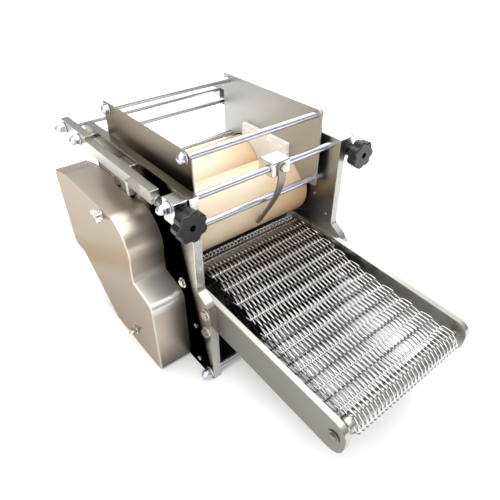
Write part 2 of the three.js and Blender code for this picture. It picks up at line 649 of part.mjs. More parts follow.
// Roller shaft: its pinion seat on the left, a collar outside the right bearing
function rollerShaft(axis, collarFace) {
  const pinionEnd = gearPlane + GEAR_WIDTH + SHAFT_END_PAST_GEAR;
  const seat = gearPlane - SEAT_GAP;
  const collarEnd = collarFace + COLLAR_WIDTH;
  return turned([
    [-pinionEnd, 0], [-pinionEnd, SHAFT_END_RADIUS], [-seat, SHAFT_END_RADIUS], [-seat, SHAFT_RADIUS],
    [collarFace, SHAFT_RADIUS], [collarFace, SHAFT_RADIUS + COLLAR_WALL],
    [collarEnd, SHAFT_RADIUS + COLLAR_WALL], [collarEnd, 0],
  ], axis, 18);
}

// Hopper

function roundRollers(clearance) {
  const travel = GAP_OPENING + GAP_CLOSING;
  const backCentre = BACK_AXIS.y + (GAP_OPENING - GAP_CLOSING) / 2;
  return [
    { y: FRONT_AXIS.y, z: FRONT_AXIS.z, radius: ROLLER_RADIUS + clearance },
    { y: backCentre, z: BACK_AXIS.z, radius: ROLLER_RADIUS + clearance + travel / 2 },
  ];
}

function hopperPlate() {
  const sheet = shapeOf(rounded([
    [HOPPER_FRONT, HOPPER_BOTTOM, HOPPER_LOWER_CORNER], [HOPPER_BACK, HOPPER_BOTTOM, HOPPER_LOWER_CORNER],
    [HOPPER_BACK, HOPPER_TOP], [HOPPER_FRONT, HOPPER_TOP, HOPPER_CORNER],
  ]), Object.values(hopperRods).map((rod) => circle(rod.y, rod.z, rodHole)));
  const bites = roundRollers(ROLLER_CLEARANCE)
    .map((bite) => rodX(bite, bite.radius, hopperInner - OVERRUN, hopperOuter + OVERRUN, 40));
  return cut(alongX(sheet, hopperInner, hopperOuter), ...bites);
}

function hopperSeal() {
  const outer = hopperInner - SEAT_GAP;
  const inner = outer - SEAL_THICKNESS;
  const sheet = shapeOf(rounded([
    [SEAL_FRONT, SEAL_CORNER_Z], [FRONT_AXIS.y, FRONT_AXIS.z], [BACK_AXIS.y, BACK_AXIS.z],
    [SEAL_BACK, SEAL_CORNER_Z], [SEAL_BACK, SEAL_TOP, SEAL_CORNER], [SEAL_FRONT, SEAL_TOP, SEAL_CORNER],
  ]));
  const bites = roundRollers(ROLLER_CLEARANCE / 2)
    .map((bite) => rodX(bite, bite.radius, inner - OVERRUN, outer + OVERRUN, 40));
  const heads = SEAL_SCREWS.map((y) => rodX({ y, z: SEAL_TOP - SEAL_SCREW_DROP }, SEAL_SCREW_RADIUS,
    inner - SEAL_SCREW_HEIGHT, inner + FUSE, 10));
  return joined(cut(alongX(sheet, inner, outer), ...bites), ...heads);
}

// The two upper rods end in dome nuts; the two lower ones carry hexagonal spacers and reach the plates
function hopperRod(place) {
  if (!place.reachesPlate) return rodWithNuts(place, hopperOuter, HOPPER_DOME_LENGTH);
  const spacer = rodX(place, SPACER_RADIUS, hopperOuter + SEAT_GAP, plateInner - SEAT_GAP, 6);
  const end = plateInner + ROD_POCKET - SEAT_GAP;
  return joined(rodX(place, ROD_RADIUS, -end, end), spacer, mirrored(spacer));
}

// Scraper

function clampBlock() {
  const back = CLAMP_FRONT + CLAMP_DEPTH;
  const top = CLAMP_BOTTOM + CLAMP_HEIGHT;
  const right = CLAMP_LEFT + CLAMP_WIDTH;
  const outline = rounded([[CLAMP_FRONT, CLAMP_BOTTOM, EDGE_ROUND], [back, CLAMP_BOTTOM, EDGE_ROUND],
    [back, top, CLAMP_UPPER_ROUND], [CLAMP_FRONT, top, CLAMP_UPPER_ROUND]], 3);
  return cut(alongX(shapeOf(outline), CLAMP_LEFT, right),
    rodX(FRONT_ROD, rodHole, CLAMP_LEFT - OVERRUN, right + OVERRUN));
}

// Flat bar, straight on the block's face and then curved back to the roller, narrower at its tip
function scraperArm() {
  const reach = ROLLER_RADIUS + SEAT_GAP;
  const tip = {
    y: FRONT_AXIS.y + reach * Math.cos(radians(ARM_ANGLE)),
    z: FRONT_AXIS.z + reach * Math.sin(radians(ARM_ANGLE)),
  };
  const middleY = CLAMP_FRONT - SEAT_GAP - ARM_THICKNESS / 2;
  const curve = new THREE.CubicBezierCurve(
    new THREE.Vector2(middleY, CLAMP_BOTTOM), new THREE.Vector2(middleY, CLAMP_BOTTOM - ARM_STRAIGHT),
    new THREE.Vector2(tip.y - ARM_SWEEP.y, tip.z + ARM_SWEEP.z),
    new THREE.Vector2(tip.y - ARM_THICKNESS / 2, tip.z));
  const middle = [new THREE.Vector2(middleY, armTop), ...curve.getPoints(10)];
  const side = (sign) => middle.map((point, i) => {
    const before = middle[Math.max(i - 1, 0)];
    const after = middle[Math.min(i + 1, middle.length - 1)];
    const along = after.clone().sub(before).normalize();
    return point.clone().add(new THREE.Vector2(-along.y, along.x).multiplyScalar(sign * ARM_THICKNESS / 2));
  });
  const strip = shapeOf([...side(1), ...side(-1).reverse()]);
  const centre = CLAMP_LEFT + CLAMP_WIDTH / 2;
  const bar = alongX(strip, centre - ARM_WIDTH / 2, centre + ARM_WIDTH / 2);
  const front = shapeOf([
    ...arc(centre, armTop - ARM_WIDTH / 2, ARM_WIDTH / 2, 0, 180, 12),
    new THREE.Vector2(centre - ARM_TIP_WIDTH / 2, tip.z - ARM_TIP_LENGTH),
    new THREE.Vector2(centre + ARM_TIP_WIDTH / 2, tip.z - ARM_TIP_LENGTH),
  ]);
  const outline = alongY(front, middleY - ARM_THICKNESS, FRONT_AXIS.y);
  const arm = geometryOf(solidOf(bar).intersect(solidOf(outline)));
  return cut(arm, rodX(FRONT_AXIS, reach, centre - ARM_WIDTH, centre + ARM_WIDTH, 72));
}

function scraperBolt() {
  const centre = CLAMP_LEFT + CLAMP_WIDTH / 2;
  const face = CLAMP_FRONT - SEAT_GAP - ARM_THICKNESS - SEAT_GAP;
  return rodY(centre, armTop - ARM_WIDTH / 2, ARM_BOLT_RADIUS, face - ARM_BOLT_HEIGHT, face, 6);
}

// Involute spur gears

function gearOutline(teeth, place, phase, flankPoints) {
  const pitch = MODULE * teeth / 2;
  const base = pitch * Math.cos(radians(PRESSURE_ANGLE));
  const root = pitch - DEDENDUM * MODULE;
  const tip = pitch + MODULE;
  const involute = (angle) => Math.tan(angle) - angle;
  const halfAtPitch = Math.PI / (2 * teeth) - BACKLASH / (2 * pitch);
  const half = (radius) => halfAtPitch + involute(radians(PRESSURE_ANGLE))
    - involute(Math.acos(Math.min(1, base / Math.max(radius, base))));
  const radii = Array.from({ length: flankPoints }, (_, i) => root + (tip - root) * i / (flankPoints - 1));
  const at = (radius, angle) =>
    new THREE.Vector2(place.y + radius * Math.cos(angle), place.z + radius * Math.sin(angle));
  return Array.from({ length: teeth }, (_, i) => phase + 2 * Math.PI * i / teeth).flatMap((middle) => [
    ...radii.map((radius) => at(radius, middle - half(radius))),
    ...radii.slice().reverse().map((radius) => at(radius, middle + half(radius))),
  ]);
}

function gear(teeth, place, phase, bore, plane) {
  const flankPoints = teeth < MOTOR_TEETH ? 3 : 2;
  const rim = shapeOf(gearOutline(teeth, place, phase, flankPoints), [circle(place.y, place.z, bore)]);
  return alongX(rim, -plane - GEAR_WIDTH, -plane);
}

// Centre of a gear that meshes with two others, at the two given distances; side picks one of the two
function meshPoint(first, firstDistance, second, secondDistance, side) {
  const line = new THREE.Vector2(second.y - first.y, second.z - first.z);
  const apart = line.length();
  line.normalize();
  const along = (firstDistance ** 2 - secondDistance ** 2 + apart ** 2) / (2 * apart);
  const across = side * Math.sqrt(firstDistance ** 2 - along ** 2);
  return { y: first.y + line.x * along - line.y * across, z: first.z + line.y * along + line.x * across };
}

// Phase of a gear in mesh with one whose phase is known
function meshPhase(from, fromTeeth, fromPhase, to, toTeeth) {
  const line = Math.atan2(to.z - from.z, to.y - from.y);
  return line + Math.PI - (fromPhase - line) * fromTeeth / toTeeth + Math.PI / toTeeth;
}

function driveLayout() {
  const pitch = (teeth) => MODULE * teeth / 2;
  const mainToPinion = pitch(MAIN_TEETH + PINION_TEETH);
  const idlerToPinion = pitch(IDLER_TEETH + PINION_TEETH);
  const mainToIdler = pitch(MAIN_TEETH + IDLER_TEETH) + MESH_SPREAD;
  // The main gear and the idler lie at one height, so the carriage moves along their line of centres.
  const main = meshPoint(FRONT_AXIS, mainToPinion, { y: BACK_AXIS.y - mainToIdler, z: BACK_AXIS.z },
    idlerToPinion, -1);
  const idler = { y: main.y + mainToIdler, z: main.z };
  const motor = meshPoint(main, pitch(MAIN_TEETH + MOTOR_TEETH), DRIVE_AXIS,
    pitch(WHEEL_TEETH + CONVEYOR_TEETH), 1);
  return { main, idler, motor };
}

const drive = driveLayout();

function driveStuds() {
  const inner = -plateOuter - SEAT_GAP;
  const collar = rodX(drive.main, STUD_RADIUS + STUD_COLLAR, SEAT_GAP - gearPlane, inner);
  return joined(collar, rodX(drive.main, STUD_RADIUS, -gearPlane - GEAR_WIDTH - STUD_PAST_GEAR, inner));
}

function idlerStud() {
  const inner = HANGER_THICKNESS - hangerOuter;
  return rodX(drive.idler, STUD_RADIUS, -gearPlane - GEAR_WIDTH - SHAFT_END_PAST_GEAR, inner);
}

// Gear cover

function coverOutline() {
  const nose = arc(COVER_NOSE.y, COVER_NOSE.z, COVER_NOSE_RADIUS, 90, 198, 12)
    .map((point) => point.toArray());
  const ledgeY = nose[nose.length - 1][0];
  return rounded([
    [coverBack, coverTop - COVER_BACK_FALL, 2 * COVER_EDGE], [coverBack - COVER_FALL_LENGTH, coverTop, 30],
    ...nose, [ledgeY, DRIVE_AXIS.z + COVER_LEDGE_RISE],
    [COVER_TOE, DRIVE_AXIS.z + COVER_TOE_RISE, COVER_TOE_BEND],
    [COVER_TOE, COVER_FLOOR_GAP, 2 * COVER_EDGE], [COVER_TOE + COVER_SOLE, COVER_FLOOR_GAP, 2 * COVER_EDGE],
    [coverBack - COVER_HEEL_BACK - COVER_HEEL_LENGTH, COVER_HEEL_HEIGHT, 20],
    [coverBack - COVER_HEEL_BACK, COVER_HEEL_HEIGHT, 16],
  ], 4);
}

function gearCover() {
  const outline = shapeOf(coverOutline());
  const skin = (inset, edge) => alongX(outline, coverFace + COVER_EDGE, OVERRUN - plateOuter, {
    bevelEnabled: true, bevelThickness: edge, bevelSize: edge, bevelOffset: -edge - inset, bevelSegments: 2,
  });
  const rim = box(-plateOuter - SEAT_GAP, -plateInner, COVER_TOE - OVERRUN, coverBack + OVERRUN,
    0, coverTop + OVERRUN);
  const hangerNotch = box(-hangerOuter - COVER_NOTCH_GAP, -plateInner, HANGER_FRONT + HANGER_THICKNESS / 2,
    HANGER_FRONT + 1.6 * HANGER_WIDTH, coverTop - COVER_NOTCH_DEPTH, coverTop + OVERRUN);
  const studHoles = Object.values(WING_STUDS).map((stud) =>
    rodX(stud, WING_STUD_RADIUS + SEAT_GAP, coverFace - OVERRUN, coverFace + 2 * COVER_EDGE));
  const inside = skin(COVER_SHEET, COVER_EDGE - COVER_SHEET);
  return cut(skin(0, COVER_EDGE), inside, rim, hangerNotch, ...studHoles);
}

// Stud from the side plate through the cover, with its washer and wing nut
function wingScrew(stud, turn) {
  const face = coverFace - SEAT_GAP;
  const washer = rodX(stud, WING_WASHER_RADIUS, face - WASHER_THICKNESS, face, 16);
  const hub = rodX(stud, WING_HUB_RADIUS, face - WING_HUB_LENGTH, face - FUSE, 14);
  const wing = alongY(shapeOf(rounded([
    [face - 2, -5], [face - 2, 5], [face - 8, WING_SPAN - 1, 4], [face - 17, WING_SPAN, 3.5],
    [face - 10, 0], [face - 17, -WING_SPAN, 3.5], [face - 8, 1 - WING_SPAN, 4],
  ], 3)), -WING_THICKNESS / 2, WING_THICKNESS / 2);
  wing.rotateX(radians(turn)).translate(0, stud.y, stud.z);
  const end = face - WING_HUB_LENGTH - WASHER_THICKNESS;
  return joined(rodX(stud, WING_STUD_RADIUS, end, -plateOuter - SEAT_GAP), washer, hub, wing);
}

// Gear motor on a channel bracket between the side plates

const motorInner = SEAT_GAP - plateInner;
const motorBottom = drive.motor.z - MOTOR_DROP - MOTOR_RADIUS;

function gearMotor() {
  const { y, z } = drive.motor;
  const gearboxEnd = motorInner + GEARBOX_LENGTH;
  const gearbox = alongX(shapeOf(rounded([
    [y - GEARBOX_HALF, motorBottom, 4], [y + GEARBOX_HALF, motorBottom, 4],
    [y + GEARBOX_HALF, z + GEARBOX_RISE, GEARBOX_CORNER],
    [y - GEARBOX_HALF, z + GEARBOX_RISE, GEARBOX_CORNER],
  ], 3)), motorInner, gearboxEnd);
  const can = rodX({ y, z: z - MOTOR_DROP }, MOTOR_RADIUS, gearboxEnd - FUSE, gearboxEnd + MOTOR_LENGTH, 24);
  const shaftBore = rodX(drive.motor, STUD_RADIUS + RUNNING_GAP, motorInner - OVERRUN,
    motorInner + MOTOR_SHAFT_SEAT + SHAFT_PASSAGE);
  return cut(joined(gearbox, can), shaftBore);
}

function motorBracket() {
  const { y } = drive.motor;
  const top = motorBottom - SEAT_GAP;
  const foot = BASE_THICKNESS + SEAT_GAP;
  const wall = GEARBOX_HALF + BRACKET_SHEET;
  const side = (sign) => [[wall + BRACKET_FLANGE, foot], [wall + BRACKET_FLANGE, foot + BRACKET_SHEET],
    [wall, foot + BRACKET_SHEET], [wall, top]].map(([u, v]) => new THREE.Vector2(y + sign * u, v));
  const hollow = [[-GEARBOX_HALF, foot], [-GEARBOX_HALF, top - BRACKET_SHEET],
    [GEARBOX_HALF, top - BRACKET_SHEET], [GEARBOX_HALF, foot]].map(([u, v]) => new THREE.Vector2(y + u, v));
  return alongX(shapeOf([...hollow, ...side(1), ...side(-1).reverse()]), motorInner + BRACKET_SHEET,
    motorInner + GEARBOX_LENGTH + MOTOR_LENGTH - BRACKET_END);
}

function motorShaft() {
  const end = -wheelPlane - GEAR_WIDTH - SHAFT_END_PAST_GEAR;
  return rodX(drive.motor, STUD_RADIUS, end, motorInner + MOTOR_SHAFT_SEAT);
}

// Conveyor, in its own frame: u from the end roller's axis towards the main frame, v up

const conveyor = new THREE.Group();
conveyor.position.set(0, END_AXIS.y, END_AXIS.z);
conveyor.rotation.x = radians(CONVEYOR_SLOPE);
machine.add(conveyor);

const endRollerAt = { y: 0, z: 0 };
const driveRollerAt = { y: CONVEYOR_LENGTH, z: 0 };

function rail() {
  const middle = (RAIL_TOP - RAIL_BOTTOM) / 2;
  const half = (RAIL_TOP + RAIL_BOTTOM) / 2;
  const halfway = CONVEYOR_LENGTH / 2;
  const outline = [
    ...rounded([
      [halfway, RAIL_TOP], [-RAIL_NOSE, RAIL_TOP, RAIL_NOSE_ROUND.upper],
      [-RAIL_NOSE, -RAIL_BOTTOM, RAIL_NOSE_ROUND.lower], [halfway, -RAIL_BOTTOM],
    ]),
    ...arc(CONVEYOR_LENGTH - RAIL_TAIL, middle, half, -90, 90, 16),
  ];
  const holes = [endRollerAt, driveRollerAt]
    .map((place) => circle(place.y, place.z, AXLE_RADIUS + RUNNING_GAP));
  const bolt = new THREE.Vector2(RAIL_BOLT.y - END_AXIS.y, RAIL_BOLT.z - END_AXIS.z)
    .rotateAround(new THREE.Vector2(), -radians(CONVEYOR_SLOPE));
  const outer = plateInner - SEAT_GAP;
  const boltHole = circle(bolt.x, bolt.y, RAIL_BOLT_RADIUS + SEAT_GAP);
  return alongX(shapeOf(outline, [...holes, boltHole]), outer - RAIL_THICKNESS, outer);
}

// Half of a conveyor roller's profile, from its middle out to the end of its axle
function axleEnd(end, head) {
  const shoulder = beltHalf + BELT_ROLLER_OVERHANG;
  const profile = [[shoulder, BELT_ROLLER_RADIUS], [shoulder, AXLE_RADIUS], [end, AXLE_RADIUS]];
  if (!head) return [...profile, [end, 0]];
  const ringEnd = end + AXLE_RING_THICKNESS;
  const headEnd = end + AXLE_HEAD_LENGTH;
  return [...profile, [end, AXLE_RING_RADIUS], [ringEnd, AXLE_RING_RADIUS], [ringEnd, AXLE_HEAD_RADIUS],
    [headEnd, AXLE_HEAD_RADIUS], [headEnd, 0]];
}

function beltRoller(place, leftEnd, rightEnd, head) {
  const left = axleEnd(leftEnd, head).map(([x, radius]) => [-x, radius]).reverse();
  return turned([...left, ...axleEnd(rightEnd, head)], place, 12);
}

// Closed loop round both rollers; staggered diamond gaps between the wires of its upper run
function meshBelt() {
  const inner = BELT_ROLLER_RADIUS + BELT_SEAT;
  const loop = (radius) => [
    ...arc(CONVEYOR_LENGTH, 0, radius, -90, 90, 12), ...arc(0, 0, radius, 90, 270, 12),
  ];
  const band = alongX(shapeOf(loop(inner + BELT_THICKNESS), [loop(inner)]), -beltHalf, beltHalf);
  const across = (2 * beltHalf - BELT_STRAND) / (BELT_GAPS_ACROSS + 0.5);
  const along = CONVEYOR_LENGTH / (BELT_GAP_ROWS + 1);
  const halfX = across / 2 - BELT_STRAND / 5;
  const halfU = along - BELT_STRAND;
  const gaps = [];
  for (let row = 0; row < BELT_GAP_ROWS; row += 1) {
    for (let i = 0; i < BELT_GAPS_ACROSS; i += 1) {
      const x = -beltHalf + BELT_STRAND / 2 + (i + 0.5 + (row % 2) / 2) * across;
      const u = (row + 1) * along;
      gaps.push(shapeOf([[-halfX, 0], [0, -halfU], [halfX, 0], [0, halfU]]
        .map(([a, b]) => new THREE.Vector2(x + a, u + b))));
    }
  }
  const cutter = new THREE.ExtrudeGeometry(gaps, { depth: BELT_THICKNESS + 2 * OVERRUN, bevelEnabled: false })
    .translate(0, 0, inner - OVERRUN);
  return cut(band, cutter);
}

// Assembly

add('side_plate_left', leftPlateWithShaftHoles(drive), 'steel');
add('side_plate_right', sidePlate(), 'steel');
add('base_plate', box(-plateInner + SEAT_GAP, plateInner - SEAT_GAP, BASE_FRONT,
  PLATE_DEPTH - BASE_BACK_INSET, 0, BASE_THICKNESS), 'steel');
add('foot_rod', rodWithNuts(FOOT_ROD, plateOuter), 'polished');
add('front_rod', rodWithNuts(FRONT_ROD, blockOuter), 'polished');
addPair('front_block', frontBlock(), 'polished');
addPair('rail_bolt', railBolt(), 'polished');
addPair('bushing', bushing(), 'bronze');

addPair('outer_bar', outerBar(), 'steel');
addPair('hanger', hanger(drive), 'steel');
add('back_rod', rodWithNuts(BACK_ROD, barOuter), 'polished');
add('middle_rod', rodWithNuts(MIDDLE_ROD, barOuter), 'polished');

addPair('star_knob', starKnob(), 'black');
addPair('gap_screw', gapScrew(), 'polished');

add('front_roller', roller(FRONT_AXIS), 'nylon');
add('front_shaft', rollerShaft(FRONT_AXIS, plateOuter + SEAT_GAP), 'steel');
add('back_roller', roller(BACK_AXIS), 'nylon');
add('back_shaft', rollerShaft(BACK_AXIS, hangerOuter + SEAT_GAP), 'steel');

addPair('hopper_plate', hopperPlate(), 'steel');
Object.entries(hopperRods).forEach(([place, rod]) => {
  add(`hopper_rod_${place}`, hopperRod(rod), 'polished');
});
addPair('hopper_seal', hopperSeal(), 'white');

add('clamp_block', clampBlock(), 'polished');
add('scraper_arm', scraperArm(), 'dark');
add('scraper_bolt', scraperBolt(), 'polished');

const mainPhase = 0;
const frontPhase = meshPhase(drive.main, MAIN_TEETH, mainPhase, FRONT_AXIS, PINION_TEETH);
const idlerPhase = meshPhase(drive.main, MAIN_TEETH, mainPhase, drive.idler, IDLER_TEETH);
const backPhase = meshPhase(drive.idler, IDLER_TEETH, idlerPhase, BACK_AXIS, PINION_TEETH);
const motorPhase = meshPhase(drive.main, MAIN_TEETH, mainPhase, drive.motor, MOTOR_TEETH);
const conveyorPhase = meshPhase(drive.motor, WHEEL_TEETH, 0, DRIVE_AXIS, CONVEYOR_TEETH);
const pinionBore = SHAFT_END_RADIUS + SEAT_GAP;
const studBore = STUD_RADIUS + RUNNING_GAP;
add('main_gear', gear(MAIN_TEETH, drive.main, mainPhase, studBore, gearPlane), 'steel');
add('front_pinion', gear(PINION_TEETH, FRONT_AXIS, frontPhase, pinionBore, gearPlane), 'steel');
add('idler_gear', gear(IDLER_TEETH, drive.idler, idlerPhase, studBore, gearPlane), 'steel');
add('back_pinion', gear(PINION_TEETH, BACK_AXIS, backPhase, pinionBore, gearPlane), 'steel');
add('motor_pinion', gear(MOTOR_TEETH, drive.motor, motorPhase, studBore, gearPlane), 'steel');
add('conveyor_wheel', gear(WHEEL_TEETH, drive.motor, 0, studBore, wheelPlane), 'steel');
add('conveyor_pinion',
  gear(CONVEYOR_TEETH, DRIVE_AXIS, conveyorPhase, AXLE_RADIUS + SEAT_GAP, wheelPlane), 'steel');
add('main_gear_stud', driveStuds(), 'steel');
add('idler_stud', idlerStud(), 'steel');
add('motor_shaft', motorShaft(), 'steel');
add('gear_motor', gearMotor(), 'enamel');
add('motor_bracket', motorBracket(), 'steel');

add('gear_cover', gearCover(), 'brushed');
add('wing_screw_upper', wingScrew(WING_STUDS.upper, -68), 'polished');
add('wing_screw_lower', wingScrew(WING_STUDS.lower, 45), 'polished');

addPair('rail', rail(), 'steel', conveyor);
add('mesh_belt', meshBelt(), 'polished', conveyor);
add('end_roller', beltRoller(endRollerAt, plateInner, plateInner, true), 'steel', conveyor);
add('drive_roller', beltRoller(driveRollerAt, wheelPlane + GEAR_WIDTH + SHAFT_END_PAST_GEAR,
  plateInner - RUNNING_GAP, false), 'steel', conveyor);

export default machine;
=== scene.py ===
# Table-top dough sheeter: steel plate frame, two cast nylon rollers under an open hopper, a
# covered gear train on the left and a woven wire belt in front. These are its finishes and finer
# pieces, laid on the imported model. Metres; X runs along the rollers, +Y to the back, +Z up.

import json
import math

import bmesh
import bpy
from mathutils import Matrix, Vector


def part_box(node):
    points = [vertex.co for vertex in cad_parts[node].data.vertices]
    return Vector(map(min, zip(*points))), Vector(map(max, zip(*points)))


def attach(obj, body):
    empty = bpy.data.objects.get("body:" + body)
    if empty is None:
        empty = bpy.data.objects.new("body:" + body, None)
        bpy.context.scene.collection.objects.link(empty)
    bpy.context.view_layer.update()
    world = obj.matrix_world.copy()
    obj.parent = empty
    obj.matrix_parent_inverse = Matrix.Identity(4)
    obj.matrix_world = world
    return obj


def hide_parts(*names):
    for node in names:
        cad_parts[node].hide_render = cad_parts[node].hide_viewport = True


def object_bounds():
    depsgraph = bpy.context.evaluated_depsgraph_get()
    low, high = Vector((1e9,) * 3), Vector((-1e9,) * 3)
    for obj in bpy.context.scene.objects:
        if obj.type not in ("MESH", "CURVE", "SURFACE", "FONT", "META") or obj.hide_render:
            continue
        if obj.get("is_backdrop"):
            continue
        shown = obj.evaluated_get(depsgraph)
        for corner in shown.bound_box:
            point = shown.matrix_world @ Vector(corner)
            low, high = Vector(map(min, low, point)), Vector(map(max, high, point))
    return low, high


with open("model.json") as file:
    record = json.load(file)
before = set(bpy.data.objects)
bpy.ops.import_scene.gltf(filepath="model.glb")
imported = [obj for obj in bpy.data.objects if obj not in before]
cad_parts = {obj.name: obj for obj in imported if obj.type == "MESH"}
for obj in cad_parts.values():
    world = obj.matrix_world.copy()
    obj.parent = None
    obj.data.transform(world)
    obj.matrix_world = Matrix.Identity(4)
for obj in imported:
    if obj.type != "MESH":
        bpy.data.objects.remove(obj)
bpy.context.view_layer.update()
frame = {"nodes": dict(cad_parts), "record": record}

MM = 0.001
carrier = {node: body for body, nodes in frame["record"]["behaviour"]["bodies"].items()
           for node in nodes}


# Camera, where the photograph was taken from: its place, and the directions of the picture's
# right, its top and its middle

VIEW_FROM = (-0.4701, -0.5045, 0.7299)
VIEW_RIGHT = (0.7751, -0.6319, 0.0033)
VIEW_UP = (0.3808, 0.4711, 0.7956)
VIEW_AHEAD = (0.5042, 0.6154, -0.6057)
lens = bpy.data.cameras.new("view")
lens.sensor_width = 36
lens.lens = 33.48
lens.clip_start = 0.02
viewer = bpy.data.objects.new("view", lens)
bpy.context.scene.collection.objects.link(viewer)
viewer.matrix_world = Matrix.Translation(VIEW_FROM) @ Matrix(
    (VIEW_RIGHT, VIEW_UP, tuple(-v for v in VIEW_AHEAD))).transposed().to_4x4()
bpy.context.scene.camera = viewer


# Nodes and colours

def colour(code):
    """An sRGB hex value as the linear colour that a shader takes."""
    parts = [int(code[i:i + 2], 16) / 255 for i in (1, 3, 5)]
    return tuple(
        p / 12.92 if p <= 0.04045 else ((p + 0.055) / 1.055) ** 2.4 for p in parts) + (1.0,)


def part(tree, kind, inputs=None, **settings):
    """Adds one node, with its settings and what feeds each socket."""
    made = tree.nodes.new(kind)
    for name, value in settings.items():
        setattr(made, name, value)
    for socket, value in (inputs or {}).items():
        for source in value if isinstance(value, list) else [value]:
            if isinstance(source, bpy.types.NodeSocket):
                tree.links.new(source, made.inputs[socket])
            else:
                made.inputs[socket].default_value = source
    return made


def new_finish(name):
    """A material with nothing in it yet, and the object's own coordinates for its patterns."""
    material = bpy.data.materials.new(name)
    material.use_nodes = True
    tree = material.node_tree
    tree.nodes.clear()
    return material, tree, part(tree, "ShaderNodeTexCoord").outputs["Object"]


# Finishes

def shaded_patches(tree, place, body, patches):
    """The colour of a surface with softly bounded patches laid over it. Each patch is a colour, its
    strength, and the slopes that bound it: a direction and the two distances along it, in metres,
    between which the patch comes in."""
    for tint, strength, slopes in patches:
        cover = strength
        for direction, start, end in slopes:
            along = part(tree, "ShaderNodeVectorMath", {
                0: place, 1: direction}, operation="DOT_PRODUCT")
            rise = part(tree, "ShaderNodeMapRange", {
                "Value": along.outputs["Value"], "From Min": start, "From Max": end},
                interpolation_type="SMOOTHSTEP")
            cover = part(tree, "ShaderNodeMath", {
                0: rise.outputs["Result"], 1: cover}, operation="MULTIPLY").outputs[0]
        body = part(tree, "ShaderNodeMix", {
            "Factor": cover, "A": body, "B": colour(tint)}, data_type="RGBA").outputs["Result"]
    return body


def ground_steel(name, light, dark, scratch, roughness, relief=0.004, cloud=0.05, patches=()):
    """Stainless steel with the parallel scratches of a grinding belt: it gives long soft highlights
    across the scratches. scratch is the size of one along X, Y and Z in millimetres. Real ones are
    0.1 mm wide, too fine to show, so these are drawn about ten times as wide. Its patches stand for
    dark or bright things that the polished piece mirrors, so they tint what shows at a flat angle
    too."""
    material, tree, place = new_finish(name)
    stretched = part(tree, "ShaderNodeMapping", {
        "Vector": place, "Scale": tuple(1 / (size * MM) for size in scratch)})
    scratches = part(tree, "ShaderNodeTexNoise", {
        "Vector": stretched.outputs["Vector"], "Scale": 1.0, "Detail": 3.0, "Roughness": 0.62})
    # Hands and wiping leave patches about 80 mm across.
    handling = part(tree, "ShaderNodeTexNoise", {
        "Vector": place, "Scale": 1 / (80 * MM), "Detail": 3.0, "Roughness": 0.55})
    metal = part(tree, "ShaderNodeMix", {
        "Factor": scratches.outputs["Fac"], "A": colour(dark), "B": colour(light)},
        data_type="RGBA")
    tone = part(tree, "ShaderNodeMapRange", {
        "Value": handling.outputs["Fac"], "From Min": 0.35, "From Max": 0.65,
        "To Min": 1 - cloud, "To Max": 1.0})
    shaded = part(tree, "ShaderNodeMix", {
        "Factor": 1.0, "A": metal.outputs["Result"], "B": tone.outputs["Result"]},
        data_type="RGBA", blend_type="MULTIPLY")
    gloss = part(tree, "ShaderNodeMapRange", {
        "Value": scratches.outputs["Fac"], "From Min": 0.3, "From Max": 0.7,
        "To Min": roughness - 0.02, "To Max": roughness + 0.03})
    ridges = part(tree, "ShaderNodeBump", {
        "Height": scratches.outputs["Fac"], "Strength": 0.2, "Distance": relief * MM})
    shader = part(tree, "ShaderNodeBsdfPrincipled", {
        "Base Color": shaded_patches(tree, place, shaded.outputs["Result"], patches),
        "Specular Tint": shaded_patches(tree, place, colour("#FFFFFF"), patches),
        "Metallic": 1.0, "Roughness": gloss.outputs["Result"], "Normal": ridges.outputs["Normal"]})
    part(tree, "ShaderNodeOutputMaterial", {"Surface": shader.outputs["BSDF"]})
    return material


def turned_nylon():
    """Cast nylon turned on a lathe: warm cream and a little waxy, with faint tool rings round the
    roller, the tan stain that dough and oil leave, and painted shade, tan towards its bottom and
    its right-hand end."""
    material, tree, place = new_finish("turned cast nylon")
    # Tool rings 3 mm apart; real ones are 0.3 mm apart.
    rings_at = part(tree, "ShaderNodeMapping", {"Vector": place, "Scale": (1 / (3 * MM), 4.0, 4.0)})
    rings = part(tree, "ShaderNodeTexNoise", {
        "Vector": rings_at.outputs["Vector"], "Scale": 1.0, "Detail": 2.0, "Roughness": 0.5})
    stain = part(tree, "ShaderNodeTexNoise", {
        "Vector": place, "Scale": 1 / (90 * MM), "Detail": 3.0, "Roughness": 0.5})
    body = part(tree, "ShaderNodeMix", {
        "Factor": stain.outputs["Fac"], "A": colour("#EBE0CA"), "B": colour("#DBC6A0")},
        data_type="RGBA")
    # Painted shade: tan towards the bottom and the right-hand end.
    painted_tan_shade = shaded_patches(tree, place, body.outputs["Result"], [
        ("#BF8D55", 0.85, [((0.5, 0, -1), -0.31, -0.14)])])
    ringed = part(tree, "ShaderNodeMapRange", {
        "Value": rings.outputs["Fac"], "To Min": 0.95, "To Max": 1.0})
    shaded = part(tree, "ShaderNodeMix", {
        "Factor": 1.0, "A": painted_tan_shade, "B": ringed.outputs["Result"]},
        data_type="RGBA", blend_type="MULTIPLY")
    ridges = part(tree, "ShaderNodeBump", {
        "Height": rings.outputs["Fac"], "Strength": 0.3, "Distance": 0.03 * MM})
    shader = part(tree, "ShaderNodeBsdfPrincipled", {
        "Base Color": shaded.outputs["Result"], "Roughness": 0.38, "IOR": 1.53,
        "Subsurface Weight": 0.06, "Subsurface Scale": 0.004, "Normal": ridges.outputs["Normal"]})
    part(tree, "ShaderNodeOutputMaterial", {"Surface": shader.outputs["BSDF"]})
    return material


